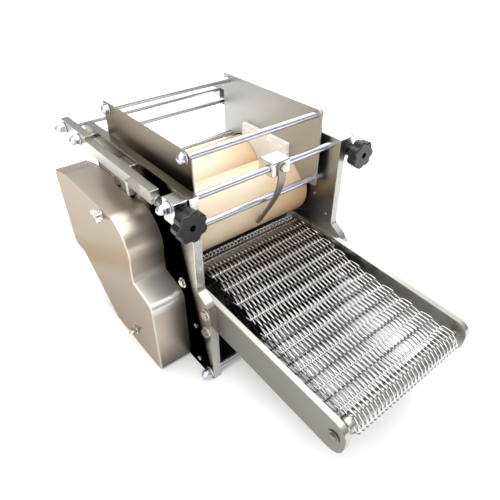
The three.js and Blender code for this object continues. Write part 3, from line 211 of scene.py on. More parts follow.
def moulded_plastic(name, light, dark, roughness, speck):
    """Injection-moulded plastic: an even colour with the fine pebbled skin of a spark-eroded mould.
    speck is the size of a pebble in millimetres, drawn a few times too large so that it shows."""
    material, tree, place = new_finish(name)
    pebbles = part(tree, "ShaderNodeTexNoise", {
        "Vector": place, "Scale": 1 / (speck * MM), "Detail": 2.0, "Roughness": 0.5})
    wear = part(tree, "ShaderNodeTexNoise", {
        "Vector": place, "Scale": 1 / (25 * MM), "Detail": 3.0})
    body = part(tree, "ShaderNodeMix", {
        "Factor": wear.outputs["Fac"], "A": colour(dark), "B": colour(light)}, data_type="RGBA")
    gloss = part(tree, "ShaderNodeMapRange", {
        "Value": wear.outputs["Fac"], "To Min": roughness - 0.07, "To Max": roughness + 0.07})
    skin = part(tree, "ShaderNodeBump", {
        "Height": pebbles.outputs["Fac"], "Strength": 0.4, "Distance": 0.06 * MM})
    shader = part(tree, "ShaderNodeBsdfPrincipled", {
        "Base Color": body.outputs["Result"], "Roughness": gloss.outputs["Result"], "IOR": 1.5,
        "Normal": skin.outputs["Normal"]})
    part(tree, "ShaderNodeOutputMaterial", {"Surface": shader.outputs["BSDF"]})
    return material


# Mirror-polished plates. The left one carries a painted dark reflection of the gap beside the
# cover, in a strip that leans back with height; the slope's -200 keeps it to the plate's outer
# face, 171 mm out. Its front edge carries a painted highlight higher up. The right one's inner face
# carries a painted dark reflection of the parts across from it.
left_plate_finish = ground_steel(
    "mirror-polished stainless left plate", "#BDB9B2", "#AFABA3", (12, 40, 1.0), 0.17, patches=[
        ("#121110", 0.97, [((-200, 1, -0.25), 34.135, 34.18), ((0, 1, 0), 0.17, 0.12)]),
        ("#F4F2EE", 0.9, [((0, 1, 0), 0.0012, 0.0006), ((0, 0, 1), 0.2, 0.21)])])
right_plate_finish = ground_steel(
    "mirror-polished stainless right plate", "#B5B4B0", "#A8A7A3", (12, 40, 1.0), 0.3, patches=[
        ("#343A43", 0.9, [((0, 1, 0), -0.005, 0.075), ((1, 0, 0), 0.158, 0.1556)])])
# The base is dark between the plates; only its front edge is bare.
base_finish = ground_steel(
    "steel base plate dark between the plates", "#BDB9B2", "#A5A19A", (1.0, 40, 1.0), 0.3, patches=[
        ("#1C1B1A", 0.96, [((0, 1, 0), -0.0128, -0.0122)])])
# The outer side of the left rail is painted darker than its inner side, as a reflection of greyer
# paper.
rail_finish = ground_steel(
    "ground stainless flat bar", "#BFBCB5", "#B0ADA5", (1.0, 40, 1.0), 0.3, patches=[
        ("#8E8D88", 0.9, [((1, 0, 0), -0.1525, -0.154)])])
# Square bar ground along its length: satin, with its grain along it.
bar_finish = ground_steel("ground stainless square bar", "#C2C0B8", "#AEACA3", (1.0, 30, 1.0), 0.3)
# Brushed sheet: a broad soft sheen. The patches are painted shade on the flat face, painted light
# on the pale ledge, a faint tan stain on the face, painted shade under the nose, and a painted dark
# reflection low down on the front wall.
COVER_WALLS = ((1, 0, 0), -0.238, -0.234)       # all but its flat face
cover_finish = ground_steel(
    "brushed stainless sheet", "#D8CEBE", "#CBC0AE", (1.2, 60, 1.2), 0.33, cloud=0.07, patches=[
        ("#BCB3A8", 0.95, [((1, 0, 0), -0.2375, -0.2385)]),
        ("#FFFDF8", 0.85, [((0, 0, 1), 0.205, 0.19), ((0, 0, 1), 0.14, 0.155),
                           ((0, 1, 0), 0.12, 0.105), COVER_WALLS]),
        ("#A58B68", 0.3, [((0, 0.5, 1), 0.24, 0.28), ((0, 0.5, 1), 0.34, 0.29),
                          ((1, 0, 0), -0.236, -0.2385)]),
        ("#8A837A", 0.2, [((0, 0, 1), 0.25, 0.222), ((0, 1, 0), 0.125, 0.108), COVER_WALLS]),
        ("#262422", 0.7, [((0, 0, 1), 0.1, 0.0), ((0, 1, 0), 0.06, 0.048), COVER_WALLS])])
# The left hopper plate's outer face carries painted shade, browner than its inner face, and a
# painted dark reflection of the bars low down.
HOPPER_OUTSIDE = ((1, 0, 0), -0.1395, -0.1405)
hopper_finish = ground_steel(
    "satin stainless sheet", "#B7B5B1", "#ADABA7", (1.0, 50, 1.0), 0.42, patches=[
        ("#988D79", 0.8, [HOPPER_OUTSIDE]),
        ("#3A322B", 0.8, [((0, -0.5, -1.5), -0.70, -0.58), HOPPER_OUTSIDE])])
# Polished rod: bright stripes run along it.
rod_finish = ground_steel(
    "polished stainless rod", "#CDD0D6", "#BFC2C8", (40, 0.8, 0.8), 0.27, 0.002)
# Buffed block: nearly a mirror, with a faint grain to the back.
block_finish = ground_steel("buffed stainless block", "#D6D5D1", "#C6C4BF", (0.8, 12, 0.8), 0.16)
# Zinc plate: bright, even and a little yellow.
nut_finish = ground_steel("plated steel nut", "#D2D0C6", "#B3B1A6", (2, 2, 2), 0.2, 0.01)
# Drawn wire: small sharp glints. The belt's return run is painted in shade, deeper towards the
# machine; the slope follows the belt, which rises 0.0501 for each metre to the back.
RETURN_RUN = ((0, -0.0501, 1), 0.155, 0.141)
wire_finish = ground_steel(
    "drawn stainless wire", "#EDEDEC", "#CFCFCE", (3, 3, 3), 0.24, 0.01, patches=[
        ("#75777B", 0.9, [RETURN_RUN]),
        ("#18181A", 0.92, [RETURN_RUN, ((0, 1, 0), -0.22, -0.08)])])
# Cut gears under their cover: darker and duller than what is handled.
gear_finish = ground_steel("hobbed steel gear", "#9C9A96", "#77746F", (1.5, 1.5, 1.5), 0.34)
# Strip that was bent hot: brownish and dull.
dark_finish = ground_steel("heat-toned steel strip", "#A39A98", "#857D7B", (1, 1, 20), 0.36)
# Bronze bushings: warm and satin.
bronze_finish = ground_steel("bearing bronze", "#C59A5C", "#9A7541", (1.5, 1.5, 1.5), 0.32)
nylon_finish = turned_nylon()
# Phenolic: nearly black, with a soft gloss. Nylon: white and nearly matt. Enamel: dark grey, with
# the slight dimples of a sprayed coat.
knob_finish = moulded_plastic("moulded phenolic knob", "#111113", "#08080A", 0.26, 0.5)
white_finish = moulded_plastic("milled white nylon", "#F0EEE8", "#DEDBD2", 0.42, 0.7)
enamel_finish = moulded_plastic("enamelled motor housing", "#33363A", "#25272A", 0.4, 1.2)


# Pieces

PLATE_INNER = 155 * MM          # the side plates' two faces
PLATE_OUTER = 171 * MM


def placed(name, mesh, body, finish=None):
    """Puts a mesh in the scene as a piece that rides on a body."""
    piece = bpy.data.objects.new(name, mesh)
    bpy.context.scene.collection.objects.link(piece)
    if finish:
        mesh.materials.clear()
        mesh.materials.append(finish)
    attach(piece, body)
    return piece


def dressed(node, finish, edge):
    """A solid's own shape with its edges broken as a maker's file leaves them, edge millimetres
    wide, in its finish. The bolt heads that a side plate carries are plated."""
    mesh = frame["nodes"][node].data.copy()
    shape = bmesh.new()
    shape.from_mesh(mesh)
    bmesh.ops.remove_doubles(shape, verts=shape.verts, dist=1e-6)
    bmesh.ops.dissolve_limit(
        shape, angle_limit=math.radians(1), verts=shape.verts, edges=shape.edges)
    for face in shape.faces:
        face.smooth = True
    shape.to_mesh(mesh)
    shape.free()
    piece = placed(node + "_dressed", mesh, carrier[node], finish)
    if node.startswith("side_plate"):
        mesh.materials.append(nut_finish)
        for face in mesh.polygons:
            if not PLATE_INNER - 0.1 * MM < abs(face.center.x) < PLATE_OUTER + 0.1 * MM:
                face.material_index = 1
    if edge:
        bevel = piece.modifiers.new("broken edges", "BEVEL")
        bevel.width = edge * MM
        bevel.segments = 2
        bevel.limit_method = "ANGLE"
        bevel.angle_limit = math.radians(38)
    weigh = piece.modifiers.new("flat faces", "WEIGHTED_NORMAL")
    weigh.keep_sharp = True
    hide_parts(node)


def turned(node, profile, finish, steps):
    """A piece turned on a lathe in place of a solid, round that solid's own X axis, with that many
    steps to a turn. The profile is a closed line of (x, radius) points in metres."""
    low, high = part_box(node)
    middle = (Vector(low) + Vector(high)) / 2
    shape = bmesh.new()
    rings = []
    for x, radius in profile:
        turns = [math.tau * i / steps for i in range(steps)] if radius else [0.0]
        rings.append([
            shape.verts.new((x, middle.y + radius * math.cos(t), middle.z + radius * math.sin(t)))
            for t in turns])
    for ring, after in zip(rings, rings[1:] + rings[:1]):
        for i in range(steps):
            corners = [ring[i % len(ring)], ring[(i + 1) % len(ring)],
                       after[(i + 1) % len(after)], after[i % len(after)]]
            corners = list(dict.fromkeys(corners))
            if len(corners) > 2:
                shape.faces.new(corners)
    bmesh.ops.recalc_face_normals(shape, faces=shape.faces)
    for face in shape.faces:
        face.smooth = True
    for edge in shape.edges:
        edge.smooth = edge.calc_face_angle(0.0) < math.radians(40)
    mesh = bpy.data.meshes.new(node + "_turned")
    shape.to_mesh(mesh)
    shape.free()
    piece = placed(node + "_turned", mesh, carrier[node], finish)
    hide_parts(node)


for node, finish, edge in [
    ("side_plate_left", left_plate_finish, 1.2), ("side_plate_right", right_plate_finish, 1.2),
    ("base_plate", base_finish, 0.6),
    ("front_block_left", block_finish, 1.0), ("front_block_right", block_finish, 1.0),
    ("outer_bar_left", bar_finish, 1.0), ("outer_bar_right", bar_finish, 1.0),
    ("hanger_left", bar_finish, 0.8), ("hanger_right", bar_finish, 0.8),
    ("hopper_plate_left", hopper_finish, 0.5), ("hopper_plate_right", hopper_finish, 0.5),
    ("hopper_seal_left", white_finish, 0.6), ("hopper_seal_right", white_finish, 0.6),
    ("clamp_block", block_finish, 1.0), ("scraper_arm", dark_finish, 0.6),
    ("scraper_bolt", nut_finish, 0.6),
    ("gear_cover", cover_finish, 0.3), ("wing_screw_upper", nut_finish, 0.3),
    ("wing_screw_lower", nut_finish, 0.3),
    ("rail_left", rail_finish, 1.2), ("rail_right", rail_finish, 1.2),
    ("rail_bolt_left", nut_finish, 0.6), ("rail_bolt_right", nut_finish, 0.6),
    ("star_knob_left", knob_finish, 0.8), ("star_knob_right", knob_finish, 0.8),
    ("gap_screw_left", rod_finish, 0.0), ("gap_screw_right", rod_finish, 0.0),
    ("bushing_left", bronze_finish, 0.0), ("bushing_right", bronze_finish, 0.0),
    ("gear_motor", enamel_finish, 1.0), ("motor_bracket", gear_finish, 0.6),
    ("end_roller", rail_finish, 0.0), ("drive_roller", gear_finish, 0.0),
]:
    dressed(node, finish, edge)

for node in ("main_gear", "front_pinion", "idler_gear", "back_pinion", "motor_pinion",
             "conveyor_wheel", "conveyor_pinion", "main_gear_stud", "idler_stud", "motor_shaft",
             "front_shaft", "back_shaft"):
    solid = frame["nodes"][node]
    solid.data.materials.clear()
    solid.data.materials.append(gear_finish)

# Rollers with broken ends, bored for their shafts
ROLLER_BORE = 12.7 * MM
ROLLER_CHAMFER = 1.5 * MM
for node in ("front_roller", "back_roller"):
    low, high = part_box(node)
    radius = (high[2] - low[2]) / 2
    turned(node, [
        (low[0], ROLLER_BORE), (low[0], radius - ROLLER_CHAMFER),
        (low[0] + ROLLER_CHAMFER, radius), (high[0] - ROLLER_CHAMFER, radius),
        (high[0], radius - ROLLER_CHAMFER), (high[0], ROLLER_BORE),
    ], nylon_finish, steps=144)

# Lower hopper rods, with a thicker spacer ring between each hopper plate and its side plate: it
# starts 0.3 mm off the hopper plate and ends 1.5 mm inside the side plate
ROD_RADIUS = 6 * MM
SPACER_RADIUS = 8.5 * MM
spacer_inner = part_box("hopper_plate_right")[1][0] + 0.3 * MM
spacer_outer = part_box("side_plate_right")[0][0] + 1.5 * MM
for node in ("hopper_rod_back_lower", "hopper_rod_front_lower"):
    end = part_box(node)[1][0]
    half = [(spacer_inner, ROD_RADIUS), (spacer_inner, SPACER_RADIUS),
            (spacer_outer, SPACER_RADIUS), (spacer_outer, ROD_RADIUS),
            (end, ROD_RADIUS), (end, 0.0)]
    turned(node, [(-x, r) for x, r in reversed(half)] + half, rod_finish, steps=48)


# What geometry nodes grow

def grown(name, mesh, tree, sizes):
    """What a geometry-nodes tree makes of a mesh, as a plain mesh."""
    stock = bpy.data.objects.new(name + "_stock", mesh)
    bpy.context.scene.collection.objects.link(stock)
    modifier = stock.modifiers.new("maker", "NODES")
    modifier.node_group = tree
    sockets = {item.name: item.identifier for item in tree.interface.items_tree
               if item.item_type == "SOCKET" and item.in_out == "INPUT"}
    for label, value in sizes.items():
        modifier[sockets[label]] = value
    bpy.context.view_layer.update()
    whole = bpy.data.meshes.new_from_object(
        stock.evaluated_get(bpy.context.evaluated_depsgraph_get()))
    whole.name = name
    bpy.data.objects.remove(stock)
    return whole


def named_tree(name, wanted, result):
    """A geometry-nodes tree with its named inputs and its one result."""
    tree = bpy.data.node_groups.new(name, "GeometryNodeTree")
    for label, kind in wanted:
        tree.interface.new_socket(label, in_out="INPUT", socket_type="NodeSocket" + kind)
    tree.interface.new_socket(result, in_out="OUTPUT", socket_type="NodeSocketGeometry")
    return tree, part(tree, "NodeGroupInput").outputs


# Tie rods: a polished rod for each edge, and a washer and dome nut on each of its ends

NUT_RADIUS = 10.2 * MM          # over the corners
LONG_NUT = 20 * MM              # from its seat to the top of its dome
SHORT_NUT = 14 * MM
HEX_SHARE = 0.42                # how much of a nut's length is hexagonal
HEX_LIFT = 0.2 * MM             # keeps its foot out of the plane of the washer's
DOME_SHARE = 0.86               # the dome's radius as a share of the nut's
WASHER_THICKNESS = 1.5 * MM
WASHER_RIM = 0.8 * MM           # how far it reaches past its nut


def tie_rod_tree():
    """Geometry nodes that make a rod of each edge, and a washer and dome nut of each of its
    ends."""
    tree, given = named_tree("tie rods", [
        ("Edges", "Geometry"), ("Rod Radius", "Float"), ("Nut Radius", "Float"),
        ("Nut Length", "Float"), ("Hex Share", "Float"), ("Washer", "Float"), ("Seed", "Int"),
        ("Finish", "Material")], "Rods")
    lines = part(tree, "GeometryNodeMeshToCurve", {"Mesh": given["Edges"]})
    section = part(tree, "GeometryNodeCurvePrimitiveCircle", {
        "Resolution": 40, "Radius": given["Rod Radius"]})
    rods = part(tree, "GeometryNodeCurveToMesh", {
        "Curve": lines.outputs[0], "Profile Curve": section.outputs[0], "Fill Caps": True})

    # The nut stands on z = 0 and points up.
    washer_radius = part(tree, "ShaderNodeMath", {
        0: given["Nut Radius"], 1: WASHER_RIM}, operation="ADD").outputs[0]
    half_washer = part(tree, "ShaderNodeMath", {
        0: given["Washer"], 1: 0.5}, operation="MULTIPLY").outputs[0]
    washer_lift = part(tree, "ShaderNodeCombineXYZ", {"Z": half_washer}).outputs[0]
    washer = part(tree, "GeometryNodeTransform", {
        "Geometry": part(tree, "GeometryNodeMeshCylinder", {
            "Vertices": 32, "Radius": washer_radius, "Depth": given["Washer"]}).outputs["Mesh"],
        "Translation": washer_lift})
    hex_depth = part(tree, "ShaderNodeMath", {
        0: given["Nut Length"], 1: given["Hex Share"]}, operation="MULTIPLY").outputs[0]
    half_hex = part(tree, "ShaderNodeMath", {0: hex_depth, 1: 0.5}, operation="MULTIPLY").outputs[0]
    hex_middle = part(tree, "ShaderNodeMath", {
        0: half_hex, 1: HEX_LIFT}, operation="ADD").outputs[0]
    hex_lift = part(tree, "ShaderNodeCombineXYZ", {"Z": hex_middle}).outputs[0]
    hexagon = part(tree, "GeometryNodeTransform", {
        "Geometry": part(tree, "GeometryNodeMeshCylinder", {
            "Vertices": 6, "Radius": given["Nut Radius"], "Depth": hex_depth}).outputs["Mesh"],
        "Translation": hex_lift})
    dome_radius = part(tree, "ShaderNodeMath", {
        0: given["Nut Radius"], 1: DOME_SHARE}, operation="MULTIPLY").outputs[0]
    dome_rise = part(tree, "ShaderNodeMath", {
        0: given["Nut Length"], 1: hex_depth}, operation="SUBTRACT")
    dome_stretch = part(tree, "ShaderNodeMath", {
        0: dome_rise.outputs[0], 1: dome_radius}, operation="DIVIDE").outputs[0]
    dome = part(tree, "GeometryNodeTransform", {
        "Geometry": part(tree, "GeometryNodeMeshUVSphere", {
            "Segments": 24, "Rings": 12, "Radius": dome_radius}).outputs["Mesh"],
        "Translation": part(tree, "ShaderNodeCombineXYZ", {"Z": hex_depth}).outputs[0],
        "Scale": part(tree, "ShaderNodeCombineXYZ", {
            "X": 1.0, "Y": 1.0, "Z": dome_stretch}).outputs[0]})
    nut = part(tree, "GeometryNodeJoinGeometry", {
        0: [washer.outputs[0], hexagon.outputs[0], dome.outputs[0]]})

    at = part(tree, "ShaderNodeSeparateXYZ", {
        "Vector": part(tree, "GeometryNodeInputPosition").outputs[0]}).outputs
    side = part(tree, "ShaderNodeMath", {0: at["X"]}, operation="SIGN").outputs[0]
    outward = part(tree, "ShaderNodeCombineXYZ", {"X": side}).outputs[0]
    facing = part(tree, "FunctionNodeAlignRotationToVector", {"Vector": outward}, axis="Z")
    clocked = part(tree, "FunctionNodeRandomValue", {
        "Min": (0.0, 0.0, 0.0), "Max": (0.0, 0.0, math.tau / 6), "Seed": given["Seed"]},
        data_type="FLOAT_VECTOR")
    turned_nut = part(tree, "FunctionNodeRotateRotation", {
        "Rotation": facing.outputs[0], "Rotate By": clocked.outputs[0]}, rotation_space="LOCAL")
    nuts = part(tree, "GeometryNodeInstanceOnPoints", {
        "Points": given["Edges"], "Instance": nut.outputs[0], "Rotation": turned_nut.outputs[0]})
    both = part(tree, "GeometryNodeJoinGeometry", {0: [rods.outputs[0], nuts.outputs[0]]})
    whole = part(tree, "GeometryNodeRealizeInstances", {"Geometry": both.outputs[0]})
    done = part(tree, "GeometryNodeSetMaterial", {
        "Geometry": whole.outputs[0], "Material": given["Finish"]})
    part(tree, "NodeGroupOutput", {"Rods": done.outputs[0]})
    return tree


def tie_rods(name, body, groups, tree):
    """All the tie rods of one body as one piece, each group of rods with its own length of nut."""
    shape = bmesh.new()
    for number, (nut_length, nodes) in enumerate(groups):
        seats = []
        for node in nodes:
            low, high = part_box(node)
            y, z = (low[1] + high[1]) / 2, (low[2] + high[2]) / 2
            seat = high[0] - nut_length
            seats += [(-seat, y, z), (seat, y, z)]
        edges = bpy.data.meshes.new(name + "_seats")
        edges.from_pydata(seats, [(i, i + 1) for i in range(0, len(seats), 2)], [])
        shape.from_mesh(grown(name + "_group", edges, tree, {
            "Rod Radius": ROD_RADIUS, "Nut Radius": NUT_RADIUS, "Nut Length": nut_length,
            "Hex Share": HEX_SHARE, "Washer": WASHER_THICKNESS, "Seed": number,
            "Finish": rod_finish}))
    for edge in shape.edges:
        edge.smooth = edge.calc_face_angle(0.0) < math.radians(28)
    for face in shape.faces:
        face.smooth = True
    mesh = bpy.data.meshes.new(name)
    shape.to_mesh(mesh)
    shape.free()
    piece = placed(name, mesh, body, rod_finish)
    bevel = piece.modifiers.new("chamfered nuts", "BEVEL")
    bevel.width = 0.5 * MM
    bevel.segments = 2
    bevel.limit_method = "ANGLE"
    bevel.angle_limit = math.radians(40)
    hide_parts(*[node for _, nodes in groups for node in nodes])


rods = tie_rod_tree()
tie_rods("frame_tie_rods", "frame", [
    (LONG_NUT, ["front_rod", "foot_rod"]),
    (SHORT_NUT, ["hopper_rod_back_upper", "hopper_rod_front_upper"])], rods)
tie_rods("carriage_tie_rods", "carriage", [(LONG_NUT, ["back_rod", "middle_rod"])], rods)


# Woven belt: flattened spirals of wire across the belt, each hooked to the next over a straight rod

END_AXIS, DRIVE_AXIS = Vector((0, -0.303, 0.135547)), Vector((0, 0.095, 0.1555))
BELT_MIDDLE = 17.6 * MM         # from a conveyor roller's axis to the middle of the belt
BELT_ROWS = 44
BELT_LOOPS = 29                 # across the belt
BELT_HALF = 127.0 * MM
WIRE = 1.15 * MM                # radius
SPIRAL_RISE = 2.4 * MM          # from the middle of the belt to a wire's centre
HOOK = 2.2 * MM                 # how far a spiral reaches past the joint with its neighbour
ROD_LIFT = 0.8 * MM             # from the middle of the belt out to a straight rod's centre
DRIFT = 15 * MM                 # how far the belt has wandered to the right at its back


def belt_path():
    """The line that the middle of the belt follows round its two rollers, as a ring of edges."""
    run = (DRIVE_AXIS - END_AXIS).normalized()
    out = Vector((0, -run.z, run.y))
    steps = 24
    turn = [math.pi * i / steps for i in range(steps + 1)]
    points = [DRIVE_AXIS + BELT_MIDDLE * (out * math.cos(t) + run * math.sin(t)) for t in turn]
    points += [END_AXIS - BELT_MIDDLE * (out * math.cos(t) + run * math.sin(t)) for t in turn]
    length = sum((points[i] - points[i - 1]).length for i in range(len(points)))
    mesh = bpy.data.meshes.new("mesh_belt_woven")
    mesh.from_pydata(
        [p[:] for p in points], [(i, (i + 1) % len(points)) for i in range(len(points))], [])
    return mesh, length


def weave_tree():
    """Geometry nodes that weave the belt along a closed path."""
    tree, given = named_tree("woven belt", [
        ("Path", "Geometry"), ("Half Width", "Float"), ("Loops", "Int"), ("Rows", "Int"),
        ("Row Pitch", "Float"), ("Wire Radius", "Float"), ("Spiral Rise", "Float"),
        ("Hook", "Float"), ("Drift", "Float"), ("Wire Finish", "Material")], "Belt")
    left_edge = part(tree, "ShaderNodeMath", {
        0: given["Half Width"], 1: -1.0}, operation="MULTIPLY")
    line = part(tree, "GeometryNodeCurvePrimitiveLine", {
        "Start": part(tree, "ShaderNodeCombineXYZ", {"X": left_edge.outputs[0]}).outputs[0],
        "End": part(tree, "ShaderNodeCombineXYZ", {"X": given["Half Width"]}).outputs[0]})

    # One spiral: eight points a loop, swinging along Y and Z as it runs along X
    count = part(tree, "ShaderNodeMath", {
        0: given["Loops"], 1: 8.0, 2: 1.0}, operation="MULTIPLY_ADD")
    fine = part(tree, "GeometryNodeResampleCurve", {
        "Curve": line.outputs[0], "Count": count.outputs[0]})
    at = part(tree, "ShaderNodeSeparateXYZ", {
        "Vector": part(tree, "GeometryNodeInputPosition").outputs[0]}).outputs
    width = part(tree, "ShaderNodeMath", {0: given["Half Width"], 1: 2.0}, operation="MULTIPLY")
    pitch = part(tree, "ShaderNodeMath", {
        0: width.outputs[0], 1: given["Loops"]}, operation="DIVIDE")
    turns = part(tree, "ShaderNodeMath", {0: at["X"], 1: pitch.outputs[0]}, operation="DIVIDE")
    angle = part(tree, "ShaderNodeMath", {
        0: turns.outputs[0], 1: math.tau}, operation="MULTIPLY").outputs[0]
    reach = part(tree, "ShaderNodeMath", {
        0: given["Row Pitch"], 1: 0.5, 2: given["Hook"]}, operation="MULTIPLY_ADD").outputs[0]
    sine = part(tree, "ShaderNodeMath", {0: angle}, operation="SINE").outputs[0]
    cosine = part(tree, "ShaderNodeMath", {0: angle}, operation="COSINE").outputs[0]
    coil = part(tree, "ShaderNodeCombineXYZ", {
        "Y": part(tree, "ShaderNodeMath", {0: sine, 1: reach}, operation="MULTIPLY").outputs[0],
        "Z": part(tree, "ShaderNodeMath", {
            0: cosine, 1: given["Spiral Rise"]}, operation="MULTIPLY").outputs[0]}).outputs[0]
    spiral = part(tree, "GeometryNodeSetPosition", {"Geometry": fine.outputs[0], "Offset": coil})

    # Rows of spirals, wound left and right by turns and half a loop apart, and a straight rod at
    # every second joint
    row_step = part(tree, "ShaderNodeCombineXYZ", {"Y": given["Row Pitch"]}).outputs[0]
    rows = part(tree, "GeometryNodeMeshLine", {
        "Count": given["Rows"], "Offset": row_step}, mode="OFFSET")
    odd = part(tree, "ShaderNodeMath", {
        0: part(tree, "GeometryNodeInputIndex").outputs[0], 1: 2.0}, operation="MODULO").outputs[0]
    hand = part(tree, "ShaderNodeMath", {
        0: odd, 1: -2.0, 2: 1.0}, operation="MULTIPLY_ADD").outputs[0]
    aside = part(tree, "ShaderNodeMath", {
        0: pitch.outputs[0], 1: 0.5}, operation="MULTIPLY").outputs[0]
    stagger = part(tree, "ShaderNodeMath", {0: odd, 1: aside}, operation="MULTIPLY").outputs[0]
    staggered = part(tree, "GeometryNodeSetPosition", {
        "Geometry": rows.outputs[0],
        "Offset": part(tree, "ShaderNodeCombineXYZ", {"X": stagger}).outputs[0]})
    spirals = part(tree, "GeometryNodeInstanceOnPoints", {
        "Points": staggered.outputs[0], "Instance": spiral.outputs[0],
        "Scale": part(tree, "ShaderNodeCombineXYZ", {"X": hand, "Y": 1.0, "Z": 1.0}).outputs[0]})
    half_row = part(tree, "ShaderNodeMath", {
        0: given["Row Pitch"], 1: 0.5}, operation="MULTIPLY").outputs[0]
    joints = part(tree, "GeometryNodeSetPosition", {
        "Geometry": rows.outputs[0],
        "Offset": part(tree, "ShaderNodeCombineXYZ", {"Y": half_row, "Z": ROD_LIFT}).outputs[0]})
    rods_at = part(tree, "GeometryNodeInstanceOnPoints", {
        "Points": joints.outputs[0], "Instance": line.outputs[0], "Selection": odd})
    flat = part(tree, "GeometryNodeJoinGeometry", {0: [spirals.outputs[0], rods_at.outputs[0]]})
    wires = part(tree, "GeometryNodeRealizeInstances", {"Geometry": flat.outputs[0]})

    # The flat weave wound round the path: Y runs along it, Z stands out from it
    path = part(tree, "GeometryNodeMeshToCurve", {"Mesh": given["Path"]})
    along = part(tree, "GeometryNodeSampleCurve", {
        "Curves": path.outputs[0], "Length": at["Y"]}, mode="LENGTH", use_all_curves=True)
    outward = part(tree, "ShaderNodeVectorMath", {
        0: along.outputs["Tangent"], 1: (-1.0, 0.0, 0.0)}, operation="CROSS_PRODUCT")
    lifted = part(tree, "ShaderNodeVectorMath", {
        0: outward.outputs[0], "Scale": at["Z"]}, operation="SCALE")
    on_path = part(tree, "ShaderNodeSeparateXYZ", {"Vector": along.outputs["Position"]}).outputs
    # The drift grows from 160 mm before the plates' front edges to 60 mm behind them.
    drifted = part(tree, "ShaderNodeMapRange", {
        "Value": on_path["Y"], "From Min": -0.16, "From Max": 0.06,
        "To Min": 0.0, "To Max": given["Drift"]}, interpolation_type="SMOOTHSTEP")
    base = part(tree, "ShaderNodeVectorMath", {
        0: along.outputs["Position"], 1: lifted.outputs[0]}, operation="ADD")
    across = part(tree, "ShaderNodeMath", {
        0: at["X"], 1: drifted.outputs[0]}, operation="ADD").outputs[0]
    shifted = part(tree, "ShaderNodeVectorMath", {
        0: base.outputs[0], 1: part(tree, "ShaderNodeCombineXYZ", {"X": across}).outputs[0]},
        operation="ADD")
    wound = part(tree, "GeometryNodeSetPosition", {
        "Geometry": wires.outputs[0], "Position": shifted.outputs[0]})
    # Five sides are enough for a wire that is seen as a few pixels and repeats in 1,276 loops.
    section = part(tree, "GeometryNodeCurvePrimitiveCircle", {
        "Resolution": 5, "Radius": given["Wire Radius"]})
    drawn = part(tree, "GeometryNodeCurveToMesh", {
        "Curve": wound.outputs[0], "Profile Curve": section.outputs[0], "Fill Caps": True})
    whole = part(tree, "GeometryNodeRealizeInstances", {"Geometry": drawn.outputs[0]})
    done = part(tree, "GeometryNodeSetMaterial", {
        "Geometry": whole.outputs[0], "Material": given["Wire Finish"]})
    part(tree, "NodeGroupOutput", {"Belt": done.outputs[0]})
    return tree


path_mesh, path_length = belt_path()
belt = placed("mesh_belt_woven", grown("mesh_belt_woven", path_mesh, weave_tree(), {
    "Half Width": BELT_HALF, "Loops": BELT_LOOPS, "Rows": BELT_ROWS,
    "Row Pitch": path_length / BELT_ROWS, "Wire Radius": WIRE, "Spiral Rise": SPIRAL_RISE,
    "Hook": HOOK, "Drift": DRIFT, "Wire Finish": wire_finish}), "frame")
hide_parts("mesh_belt")


# Floor and studio light

FLOOR_HALF = 8                  # metres


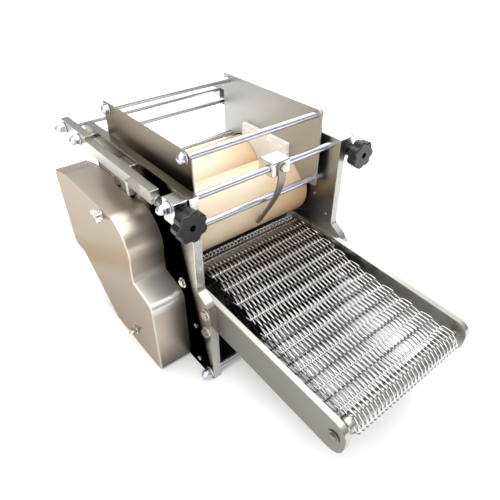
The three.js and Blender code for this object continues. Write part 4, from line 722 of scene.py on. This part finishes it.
def floor():
    """Pale matt paper, larger than the view, that glows a little away from the machine so that it
    stays as pale there."""
    mesh = bpy.data.meshes.new("studio_floor")
    corners = [(-1, -1), (1, -1), (1, 1), (-1, 1)]
    mesh.from_pydata([(FLOOR_HALF * x, FLOOR_HALF * y, 0) for x, y in corners], [], [(0, 1, 2, 3)])
    material, tree, place = new_finish("matt studio paper")
    fibres = part(tree, "ShaderNodeTexNoise", {
        "Vector": place, "Scale": 1 / (3 * MM), "Detail": 2.0})
    tone = part(tree, "ShaderNodeMix", {
        "Factor": fibres.outputs["Fac"], "A": colour("#F7F7F6"), "B": colour("#FCFCFB")},
        data_type="RGBA")
    # The paper is greyer under the belt, where little light reaches.
    shaded = shaded_patches(tree, place, tone.outputs["Result"], [
        ("#5C5F63", 0.75, [((1, 0, 0), -0.01, 0.05), ((1, 0, 0), 0.265, 0.235),
                           ((0, 1, 0), -0.24, -0.06), ((0, 1, 0), 0.16, 0.1)])])
    away = part(tree, "ShaderNodeVectorMath", {0: place}, operation="LENGTH")
    glow = part(tree, "ShaderNodeMapRange", {
        "Value": away.outputs["Value"], "From Min": 0.35, "From Max": 1.6,
        "To Min": 0.0, "To Max": 0.75}, interpolation_type="SMOOTHSTEP")
    paper = part(tree, "ShaderNodeBsdfPrincipled", {
        "Base Color": shaded, "Roughness": 0.9, "Emission Color": colour("#FFFFFF"),
        "Emission Strength": glow.outputs["Result"]})
    part(tree, "ShaderNodeOutputMaterial", {"Surface": paper.outputs["BSDF"]})
    mesh.materials.append(material)
    table = bpy.data.objects.new("studio_floor", mesh)
    bpy.context.scene.collection.objects.link(table)
    table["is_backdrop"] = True


def softbox(name, place, aim, size, power):
    """A square lamp, that many metres wide, turned to face a point."""
    light = bpy.data.lights.new(name, "AREA")
    light.shape = "SQUARE"
    light.size = size
    light.energy = power
    lamp = bpy.data.objects.new(name, light)
    bpy.context.scene.collection.objects.link(lamp)
    lamp.location = place
    lamp.rotation_mode = "QUATERNION"
    lamp.rotation_quaternion = (Vector(aim) - Vector(place)).to_track_quat("-Z", "Y")


def studio_air():
    """Soft light from all round: pale above, duller towards the horizon."""
    world = bpy.data.worlds.new("studio")
    world.use_nodes = True
    tree = world.node_tree
    tree.nodes.clear()
    height = part(tree, "ShaderNodeSeparateXYZ", {
        "Vector": part(tree, "ShaderNodeTexCoord").outputs["Generated"]}).outputs["Z"]
    rise = part(tree, "ShaderNodeMapRange", {
        "Value": height, "From Min": 0.0, "From Max": 0.7}, interpolation_type="SMOOTHSTEP")
    sky = part(tree, "ShaderNodeMix", {
        "Factor": rise.outputs["Result"], "A": colour("#7D7C79"), "B": colour("#FBFCFF")},
        data_type="RGBA")
    air = part(tree, "ShaderNodeBackground", {"Color": sky.outputs["Result"], "Strength": 0.95})
    part(tree, "ShaderNodeOutputWorld", {"Surface": air.outputs["Background"]})
    bpy.context.scene.world = world


floor()
softbox("overhead softbox", (0.1, -0.1, 2.0), (0, 0, 0.2), 2.6, 42)
softbox("front left softbox", (-1.9, -1.5, 1.2), (0, 0, 0.2), 3.2, 46)
softbox("back right softbox", (1.5, 1.2, 1.5), (0, 0, 0.2), 1.4, 12)
studio_air()
bpy.context.scene.view_settings.view_transform = "Standard"


low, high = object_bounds()
